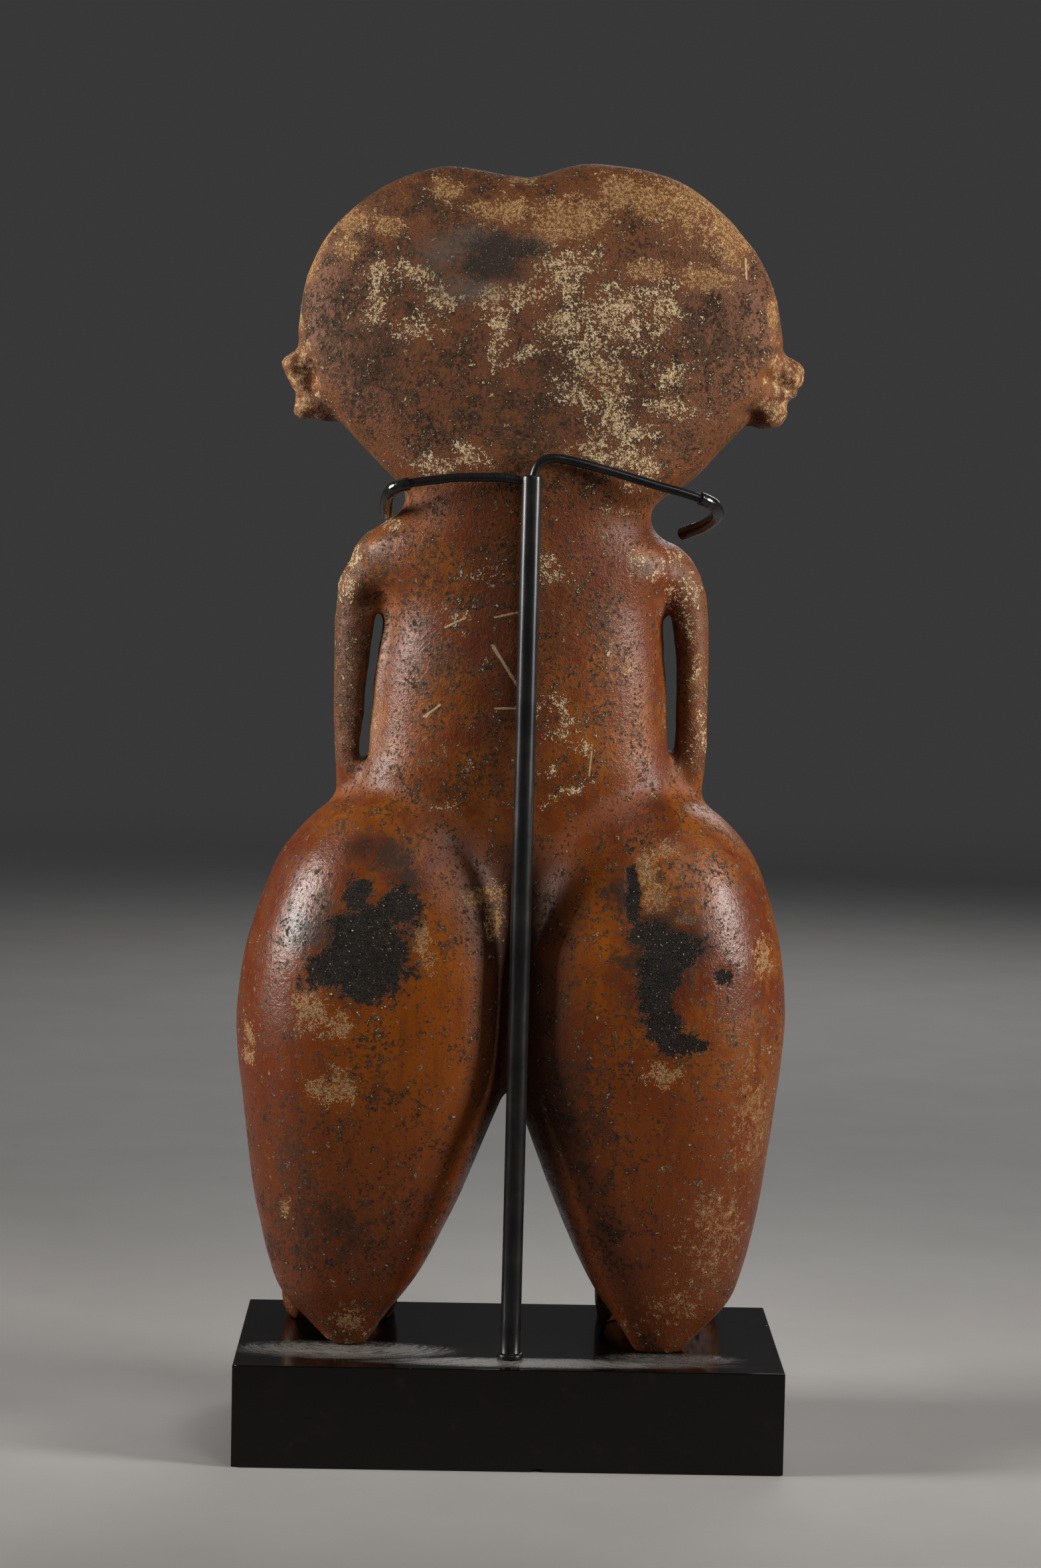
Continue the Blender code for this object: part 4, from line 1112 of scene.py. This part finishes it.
# %% Clay: smoke, black sandy patches and scratches
smoke = (clay.worn("haze") + 0.25 * mottle + 0.3 * cloud - 0.1).between(0.15, 0.95)
slip = clay.blend(smoke * 0.85, slip, SMOKE_BROWN)
ash = (clay.worn("ash") + 0.25 * cloud + 0.35 * fleck + 0.4 * grain).between(0.3, 1.0)
slip = clay.blend(ash * 0.5, slip, ASH_GREY)
soot = (clay.worn("cloud") + 0.25 * cloud + 0.3 * fleck + 0.3 * grain).between(0.25, 0.85)
soot_colour = clay.blend((grain + 0.5 * fleck).between(0.45, 0.9), SOOT_BLACK, SOOT_GRAIN)
slip = clay.blend(soot * 0.88, slip, soot_colour)
char = (clay.worn("char") + 0.3 * mottle + 0.25 * fleck + 0.15 * grain).between(0.38, 0.55)
char_colour = clay.blend((grain + 0.4 * fleck).between(0.35, 0.9), CHAR_BLACK, CHAR_GRAIN)
slip = clay.blend(char * 0.96, slip, char_colour)
scratched = None
for line in SCRATCHES:
    one = clay.scratch(*line, ragged=0.35 * mottle + 0.4 * grain)
    scratched = one if scratched is None else scratched.most(one)
scratched = scratched * clay.worn("back")
slip = clay.blend(scratched * 0.8, slip, SCRATCH_BUFF)

# %% Clay: how it shines and how it feels
bare = (buff + crust + torn + 0.8 * sandy).between(0.0, 1.0)
rough = 0.29 + 0.12 * weather + 0.20 * earthy + 0.35 * bare + 0.55 * char + 0.15 * shade + 0.05 * cloud
# The band of painted shade down the back is made more matt as well
rough = rough + 0.25 * clay.worn("crease") + 0.3 * clay.worn("groove")
rough = rough + 0.4 * specks + 0.4 * pins + 0.4 * spots + 0.35 * soot
rough = rough.math("MINIMUM", rough, 1.0)
coarse = bare.most(char)
relief = 0.05 * mottle + (0.03 + 0.07 * weather) * fleck + (0.010 + 0.04 * weather + 0.14 * coarse) * grain
relief = relief + 0.06 * crust - 0.05 * buff - 0.02 * specks - 0.03 * pins - 0.03 * spots - 0.03 * scratched
clay_material = clay.finish(slip, rough, relief, **{"Specular IOR Level": CLAY_GLOSS})

# %% [markdown]
# ## Grit on the worn patches
#
# The black patches are bare, sandy clay, and the crust is sandy too. Bump alone stays flat at a grazing light, so
# real grains are scattered there. Geometry Nodes does it best: one tree spreads points where the mask is strong,
# puts a small faceted grain on each, and turns and scales it at random with a fixed seed. A grain has only twenty
# faces, because there are thousands.

# %% Grit material
grit = Finish("Grit")
tone = grit.worn("tone")
dark_grain = grit.blend(tone.between(0.76, 0.97), (0.008, 0.007, 0.006), (0.34, 0.27, 0.19))
pale_grain = grit.blend(tone, (0.40, 0.29, 0.17), (0.66, 0.56, 0.40))
grit_colour = grit.blend(grit.worn("char").between(0.3, 0.45), pale_grain, dark_grain)
grit_material = grit.finish(grit_colour, 0.65 + 0.15 * grit.clouds(1.0), **{"Specular IOR Level": 0.2})

# %% The tree that scatters it
scatter = Pattern(
    "Grit on worn clay",
    {"Per square metre": "Float", "Smallest": "Float", "Largest": "Float", "Seed": "Int", "Material": "Material"},
)
worn_here = scatter.node("GeometryNodeInputNamedAttribute", {"data_type": "FLOAT"}, {"Name": "grit"})
density = worn_here * scatter.given("Per square metre")
scattered = scatter.node(
    "GeometryNodeDistributePointsOnFaces",
    {},
    {"Mesh": scatter.given("Geometry"), "Density": density, "Seed": scatter.given("Seed")},
)
turned = scatter.node(
    "FunctionNodeRandomValue",
    {"data_type": "FLOAT_VECTOR"},
    {"Min": (0.0, 0.0, 0.0), "Max": (6.28, 6.28, 6.28), "Seed": 3},
)
sized = scatter.node(
    "FunctionNodeRandomValue",
    {"data_type": "FLOAT"},
    {2: scatter.given("Smallest"), 3: scatter.given("Largest"), "Seed": 4},
    output=1,
)
flattened = scatter.node(
    "FunctionNodeRandomValue",
    {"data_type": "FLOAT_VECTOR"},
    {"Min": (0.7, 0.7, 0.5), "Max": (1.2, 1.2, 0.9), "Seed": 5},
)
grain_size = scatter.node("ShaderNodeVectorMath", {"operation": "SCALE"}, {0: flattened, "Scale": sized})
one_grain = scatter.node("GeometryNodeMeshIcoSphere", {}, {"Radius": 1.0, "Subdivisions": 1})
values = {"Points": scattered, "Instance": one_grain, "Rotation": turned, "Scale": grain_size}
placed = scatter.node("GeometryNodeInstanceOnPoints", {}, values)
toned = scatter.node(
    "GeometryNodeStoreNamedAttribute",
    {"data_type": "FLOAT", "domain": "INSTANCE"},
    {
        "Geometry": placed,
        "Name": "tone",
        "Value": scatter.node("FunctionNodeRandomValue", {"data_type": "FLOAT"}, {2: 0.0, 3: 1.0, "Seed": 6}, output=1),
    },
)
counted = scatter.node(
    "GeometryNodeStoreNamedAttribute",
    {"data_type": "FLOAT", "domain": "INSTANCE"},
    {"Geometry": toned, "Name": "grain", "Value": 1.0},
)
together = scatter.tree.nodes.new("GeometryNodeJoinGeometry")
for part in (counted, scatter.given("Geometry")):
    scatter.tree.links.new(part.socket, together.inputs[0])
real = scatter.node("GeometryNodeRealizeInstances", {}, {"Geometry": Flow(scatter, together.outputs[0])})
is_grain = scatter.node("GeometryNodeInputNamedAttribute", {"data_type": "FLOAT"}, {"Name": "grain"})
chosen = is_grain.math("GREATER_THAN", is_grain, 0.5)
values = {"Geometry": real, "Selection": chosen, "Material": scatter.given("Material")}
scatter.close(scatter.node("GeometryNodeSetMaterial", {}, values))

# %% Scatter it
GRAIN_FACES = 20
figure.data.materials.append(clay_material)
before = len(figure.data.polygons)
inputs = {"Per square metre": 0.5e6, "Smallest": 0.14 * MM, "Largest": 0.32 * MM, "Seed": 7}
scatter.used_on(figure, **inputs, Material=grit_material)
faces = len(figure.data.polygons)
triangles = sum(len(face.vertices) - 2 for face in figure.data.polygons)
print((faces - before) // GRAIN_FACES, "grains;", triangles, "triangles in all")
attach(figure, "root")
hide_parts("figure")

# %% [markdown]
# ## The steel post and its wires
#
# The mount is a thin tube with a small bead at its foot and a rounded lip. One wire is brazed to the tube's left
# side, the other stands in its open top, and both bend round the neck and end in shrunk black sleeves. The tube is
# a turned shape, so it is spun from a profile. The wires follow a path, so a Geometry Nodes tree sweeps a circle
# along it.

# %% Blackened steel and shrunk sleeve
BLACK_STEEL, WORN_STEEL = (0.022, 0.022, 0.024), (0.050, 0.047, 0.043)
BLACK_SLEEVE, GREY_SLEEVE = (0.006, 0.006, 0.006), (0.014, 0.013, 0.012)
steel = Finish("Blackened steel")
drawn = steel.clouds(0.9, 3.0, 0.6, stretch=(1.0, 1.0, 0.05))
patina = steel.clouds(14.0, 3.0, 0.6, shift=4.0)
steel_colour = steel.blend((0.5 * patina + 0.3 * drawn).between(-0.3, 0.8), BLACK_STEEL, WORN_STEEL)
steel_rough = 0.27 + 0.05 * patina + 0.05 * drawn
steel_material = steel.finish(steel_colour, steel_rough, 0.006 * drawn, Metallic=0.7)

sleeve_finish = Finish("Shrunk black sleeve")
wrinkle = sleeve_finish.clouds(1.6, 2.0, 0.5)
sleeve_material = sleeve_finish.finish(
    sleeve_finish.blend(wrinkle.between(-0.5, 1.0), BLACK_SLEEVE, GREY_SLEEVE),
    0.14 + 0.05 * wrinkle,
    0.05 * wrinkle,
)

# %% The tube
TUBE_RADIUS = 3.175
TUBE_SIDES = 64
POST_FOOT = Vector((0.4, -32.4, PLINTH_HEIGHT + GAP))
POST_TOP = Vector((2.0, -31.2, 305.8))
SOCKET_DEPTH = 12.0
SOCKET_RADIUS = 2.3
LIP = 0.6
BEAD_RADIUS = 4.1
BEAD_HEIGHT = 1.6


def rounded(middle_radius, middle_height, radius, start, end, count=6):
    """Points of a quarter round, from one angle to another in degrees."""
    turns = np.radians(np.linspace(start, end, count))
    return [(middle_radius + radius * math.cos(t), middle_height + radius * math.sin(t)) for t in turns]


def spun(profile, sides):
    """A turned shape from its profile of radius and height."""
    bm = bmesh.new()
    verts = [bm.verts.new((radius, 0.0, height)) for radius, height in profile]
    edges = [bm.edges.new(pair) for pair in zip(verts, verts[1:])]
    bmesh.ops.spin(
        bm,
        geom=verts + edges,
        axis=(0.0, 0.0, 1.0),
        cent=(0.0, 0.0, 0.0),
        angle=2.0 * math.pi,
        steps=sides,
        use_duplicate=False,
    )
    bmesh.ops.remove_doubles(bm, verts=bm.verts, dist=0.001)
    return bm


length = (POST_TOP - POST_FOOT).length
profile = [(0.0, 0.0)]
profile += rounded(BEAD_RADIUS - 0.4, 0.4, 0.4, -90.0, 0.0)
profile += rounded(BEAD_RADIUS - 0.7, 0.9, 0.7, 0.0, 80.0)
profile += [(TUBE_RADIUS + 0.15, BEAD_HEIGHT), (TUBE_RADIUS, BEAD_HEIGHT + 0.25)]
profile += [(TUBE_RADIUS, height) for height in np.linspace(12.0, length - LIP - 1.0, 12)]
profile += [*rounded(TUBE_RADIUS - LIP, length - LIP, LIP, 0.0, 90.0), (SOCKET_RADIUS + 0.15, length)]
profile += [(SOCKET_RADIUS, length - 0.2), (SOCKET_RADIUS, length - SOCKET_DEPTH), (0.0, length - SOCKET_DEPTH)]
bm = spun(profile, TUBE_SIDES)
lean = (POST_TOP - POST_FOOT).to_track_quat("Z", "Y").to_matrix().to_4x4()
bmesh.ops.transform(bm, matrix=Matrix.Translation(POST_FOOT) @ lean, verts=bm.verts)
for face in bm.faces:
    face.smooth = True
post = object_of("steel_post", bm, steel_material)
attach(post, "root")
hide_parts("post")
print("post", round(length, 1), "mm long,", len(post.data.polygons), "faces")

# %% The tree that sweeps a rod along a path
rod = Pattern("Rod along a path", {"Radius": "Float", "Sides": "Int", "Material": "Material"})
curve = rod.node("GeometryNodeMeshToCurve", {}, {"Mesh": rod.given("Geometry")})
size = {"Resolution": rod.given("Sides"), "Radius": rod.given("Radius")}
ring = rod.node("GeometryNodeCurvePrimitiveCircle", {}, size)
swept = rod.node("GeometryNodeCurveToMesh", {}, {"Curve": curve, "Profile Curve": ring, "Fill Caps": True})
smooth = rod.node("GeometryNodeSetShadeSmooth", {}, {"Geometry": swept, "Shade Smooth": True})
whole = rod.node("GeometryNodeRealizeInstances", {}, {"Geometry": smooth})
rod.close(rod.node("GeometryNodeSetMaterial", {}, {"Geometry": whole, "Material": rod.given("Material")}))


def swept_rod(name, way, radius, sides, material):
    mesh = bpy.data.meshes.new(name)
    mesh.from_pydata((np.asarray(way) * MM).tolist(), [(i, i + 1) for i in range(len(way) - 1)], [])
    made = bpy.data.objects.new(name, mesh)
    bpy.context.scene.collection.objects.link(made)
    return rod.used_on(made, Radius=radius * MM, Sides=sides, Material=material)


# %% Wires
WIRE_RADIUS = 1.4
FINE_WIRE_STEP = 0.5
SLEEVE_RADIUS = 2.05
SLEEVE_OVERHANG = 1.2
LEFT_CLAW = (
    (-1.6, -31.0, 304.2), (-8.0, -30.8, 305.0), (-19.0, -30.7, 304.8), (-28.0, -30.7, 303.8),
    (-35.5, -30.4, 302.6), (-40.2, -28.2, 301.0), (-42.2, -22.8, 298.4), (-42.8, -15.0, 295.6),
    (-42.8, -7.5, 293.6),
)
RIGHT_CLAW = (
    (2.1, -31.2, 296.6), (2.2, -31.2, 303.0), (2.7, -31.1, 306.4), (4.4, -31.0, 309.7), (8.6, -30.9, 311.2),
    (13.0, -30.8, 310.6), (24.4, -30.8, 307.9), (38.9, -30.8, 303.8), (52.0, -30.6, 300.2), (58.0, -27.0, 297.6),
    (59.6, -20.0, 294.8), (57.0, -11.0, 291.6), (50.6, -3.0, 288.6),
)
CLAWS = {"left": (LEFT_CLAW, 0.55), "right": (RIGHT_CLAW, 0.655)}
for hand, (stations, sleeve_from) in CLAWS.items():
    way = round_way(stations, FINE_WIRE_STEP)
    wire = swept_rod(hand + "_wire", way, WIRE_RADIUS, 24, steel_material)
    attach(wire, "root")
    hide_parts(hand + "_claw")

    first = round(sleeve_from * (len(way) - 1))
    outward = way[-1] - way[-2]
    outward /= np.linalg.norm(outward)
    covered = np.vstack([way[first:], way[-1] + outward * SLEEVE_OVERHANG])
    sleeve = swept_rod(hand + "_black_sleeve", covered, SLEEVE_RADIUS, 28, sleeve_material)
    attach(sleeve, "root")
    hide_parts(hand + "_sleeve")
    print(hand, "wire", len(wire.data.polygons), "faces, sleeve", len(sleeve.data.polygons), "faces")

# %% [markdown]
# ## The plinth
#
# The plinth is a block of very dark polished stone with a faint red-brown mottle, sharp bright edges, and a few
# tiny chips. A block needs no more than a bevelled box, so the care goes into the finish: clear gloss under grey
# dust that was wiped in arcs round the heels.

# %% Dark polished stone under dust
BLACK_STONE, BROWN_STONE = (0.004, 0.003, 0.003), (0.022, 0.007, 0.005)
DUST_GREY = (0.36, 0.34, 0.31)
stone = Finish("Dark polished stone")
veins = stone.clouds(16.0, 5.0, 0.65, shift=3.0, bend=1.2)
mottle = stone.clouds(3.0, 4.0, 0.6, shift=8.0)
stone_colour = stone.blend((veins + 0.5 * mottle).between(0.1, 1.2), BLACK_STONE, BROWN_STONE)
apart = stone.node("ShaderNodeSeparateXYZ", {}, {0: stone.place})
x_place, y_place, z_place = (Flow(stone, apart.socket.node.outputs[i]) for i in range(3))
on_top = z_place.between(PLINTH_HEIGHT - 0.25, PLINTH_HEIGHT - 0.05)


def patch(x, y, half_width, half_depth):
    """A soft oval on the top, 1 in its middle."""
    across = (x_place - x) * (1.0 / half_width)
    along = (y_place - y) * (1.0 / half_depth)
    return 1.0 - (across * across + along * along).between(0.0, 1.0)


def arcs(x, y, shift):
    """Fine streaks that run round a place on the top."""
    across, along = x_place - x, (y_place - y) * 1.7
    away = stone.node("ShaderNodeMath", {"operation": "SQRT"}, {0: across * across + along * along})
    around = away.math("ARCTAN2", along, across)
    turned = stone.node("ShaderNodeCombineXYZ", {}, {"X": away * 0.55, "Y": around * 2.6, "Z": shift})
    values = {"Vector": turned, "Scale": 1.0, "Detail": 4.0, "Roughness": 0.6, "Distortion": 1.1}
    return stone.node("ShaderNodeTexNoise", {}, values) * 3.0 - 1.5


left_arcs, right_arcs = arcs(-51.0, -17.0, 1.0), arcs(50.0, -24.0, 4.0)
wipes = left_arcs + (right_arcs - left_arcs) * x_place.between(-10.0, 30.0)
powder = stone.clouds(0.5, 2.0, 0.7, shift=2.0)
# The dust lies round the left heel, along the back edge, and thinner round the right heel
lying = patch(-52.0, -24.0, 46.0, 17.0).most(patch(10.0, -38.0, 75.0, 9.0))
lying = lying.most(patch(50.0, -30.0, 30.0, 12.0) * 0.8)
dust = 0.7 * lying + 0.42 * wipes * lying + 0.04 * wipes + 0.3 * powder * lying - 0.12
dust = on_top * dust.between(0.0, 1.0)
stone_colour = stone.blend(dust * 0.75, stone_colour, DUST_GREY)
film = (0.4 * wipes + 0.3 * mottle).between(-0.2, 1.0)
stone_rough = 0.10 + 0.5 * dust + 0.05 * film
stone_material = stone.finish(stone_colour, stone_rough, 0.01 * powder * dust, **{"Specular IOR Level": 0.25})

# %% The block
PLINTH_WIDTH = 170.0
PLINTH_DEPTH = 95.0
PLINTH_ARRIS = 0.35
CHIPS = (
    (-84.9, -47.6, 0.0, 1.5), (9.2, -47.6, 0.2, 1.3), (-85.1, -47.6, 32.0, 0.9), (52.0, -47.7, 32.2, 0.6),
    (85.2, -47.7, 0.0, 1.2), (-30.0, -47.7, 32.1, 0.5), (85.2, 20.0, 32.2, 0.9), (-40.0, 47.8, 32.2, 1.0),
)
bm = bmesh.new()
size = Matrix.Diagonal((PLINTH_WIDTH, PLINTH_DEPTH, PLINTH_HEIGHT, 1.0))
bmesh.ops.create_cube(bm, size=1.0, matrix=Matrix.Translation((0.0, 0.0, 0.5 * PLINTH_HEIGHT)) @ size)
plinth = object_of("stone_plinth", bm, stone_material)
arris = plinth.modifiers.new("Arris", "BEVEL")
arris.width = PLINTH_ARRIS * MM
arris.segments = 3
bm = bmesh.new()
for index, (x, y, z, radius) in enumerate(CHIPS):
    place = Matrix.Translation((x, y, z)) @ Matrix.Rotation(1.3 * index, 4, "X") @ Matrix.Diagonal((1.6, 0.8, 1.0, 1.0))
    bmesh.ops.create_icosphere(bm, subdivisions=2, radius=radius, matrix=place)
chips = object_of("chips", bm)
cut(plinth, chips)
finished(plinth)
bpy.data.objects.remove(chips)
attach(plinth, "root")
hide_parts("plinth")
print("plinth", len(plinth.data.polygons), "faces")

# %% [markdown]
# ## Camera, floor and light
#
# The camera stands level with the neck, well over a metre away, looks down by less than five degrees and is turned
# a little about its own axis, as the reference is. A large soft light grazes the figure from the left, a weaker one
# from the right, and a third from above and behind the camera, which is what gives burnished clay its broad sheen.

# %% Camera
YAW, PITCH, ROLL = math.radians(-0.6905), math.radians(4.7506), math.radians(1.1065)
CAMERA_PLACE = Vector((-14.2126, -1231.9425, 310.9413)) * MM
forward = Vector((-math.sin(YAW) * math.cos(PITCH), math.cos(YAW) * math.cos(PITCH), -math.sin(PITCH)))
level = forward.cross(Vector((0.0, 0.0, 1.0))).normalized()
upward = level.cross(forward)
right = level * math.cos(ROLL) + upward * math.sin(ROLL)
upward = upward * math.cos(ROLL) - level * math.sin(ROLL)
camera_data = bpy.data.cameras.new("camera")
camera_data.lens = 90.0
camera_data.sensor_width = 36.0
camera = bpy.data.objects.new("camera", camera_data)
bpy.context.scene.collection.objects.link(camera)
place = Matrix((right, upward, -forward)).transposed().to_4x4()
place.translation = CAMERA_PLACE
camera.matrix_world = place
bpy.context.scene.camera = camera
print("camera", round(CAMERA_PLACE.length, 3), "m from the origin")

# %% Floor, which fades into the room so that no horizon shows
FLOOR_FADES = (700.0, 2400.0)
bm = bmesh.new()
bmesh.ops.create_circle(bm, cap_ends=True, segments=96, radius=6000.0)
paper = Finish("Pale paper")
paper_colour = paper.blend(paper.clouds(60.0).between(-1.0, 1.0), (0.47, 0.46, 0.445), (0.51, 0.50, 0.485))
away = paper.node("ShaderNodeVectorMath", {"operation": "LENGTH"}, {0: paper.place}, "Value")
paper_material = paper.finish(paper_colour, 0.9, Alpha=1.0 - away.between(*FLOOR_FADES))
floor = object_of("floor", bm, paper_material)
floor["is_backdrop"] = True


# %% Lights and the room
def soft_light(name, place, target, width, height, watts, colour=(1.0, 1.0, 1.0), spread=180.0):
    data = bpy.data.lights.new(name, "AREA")
    data.shape = "RECTANGLE"
    data.size, data.size_y = width, height
    data.energy = watts
    data.color = colour
    data.spread = math.radians(spread)
    made = bpy.data.objects.new(name, data)
    bpy.context.scene.collection.objects.link(made)
    made.location = place
    made.rotation_euler = (Vector(target) - Vector(place)).to_track_quat("-Z", "Y").to_euler()


soft_light("left_light", (-0.95, -0.12, 0.50), (0.0, 0.0, 0.33), 0.30, 0.5, 1.8, (1.0, 0.97, 0.93), 52.0)
soft_light("right_light", (0.95, -0.32, 0.50), (0.0, 0.0, 0.33), 0.30, 0.5, 1.6, (1.0, 0.96, 0.91), 52.0)
soft_light("upper_light", (0.45, -0.85, 0.95), (0.0, 0.0, 0.32), 0.4, 0.4, 0.25, spread=50.0)
soft_light("far_light", (0.3, 1.2, 0.9), (0.0, 0.0, 0.2), 0.8, 0.8, 5.0)
world = bpy.data.worlds.new("room")
world.use_nodes = True
world.node_tree.nodes["Background"].inputs["Color"].default_value = (0.50, 0.50, 0.515, 1.0)
world.node_tree.nodes["Background"].inputs["Strength"].default_value = 0.08
bpy.context.scene.world = world
bpy.context.scene.view_settings.view_transform = "Standard"

# %% Sizes, and the end
low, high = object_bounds()
print("visual box in mm", [round(x / MM, 1) for x in (*low, *high)])
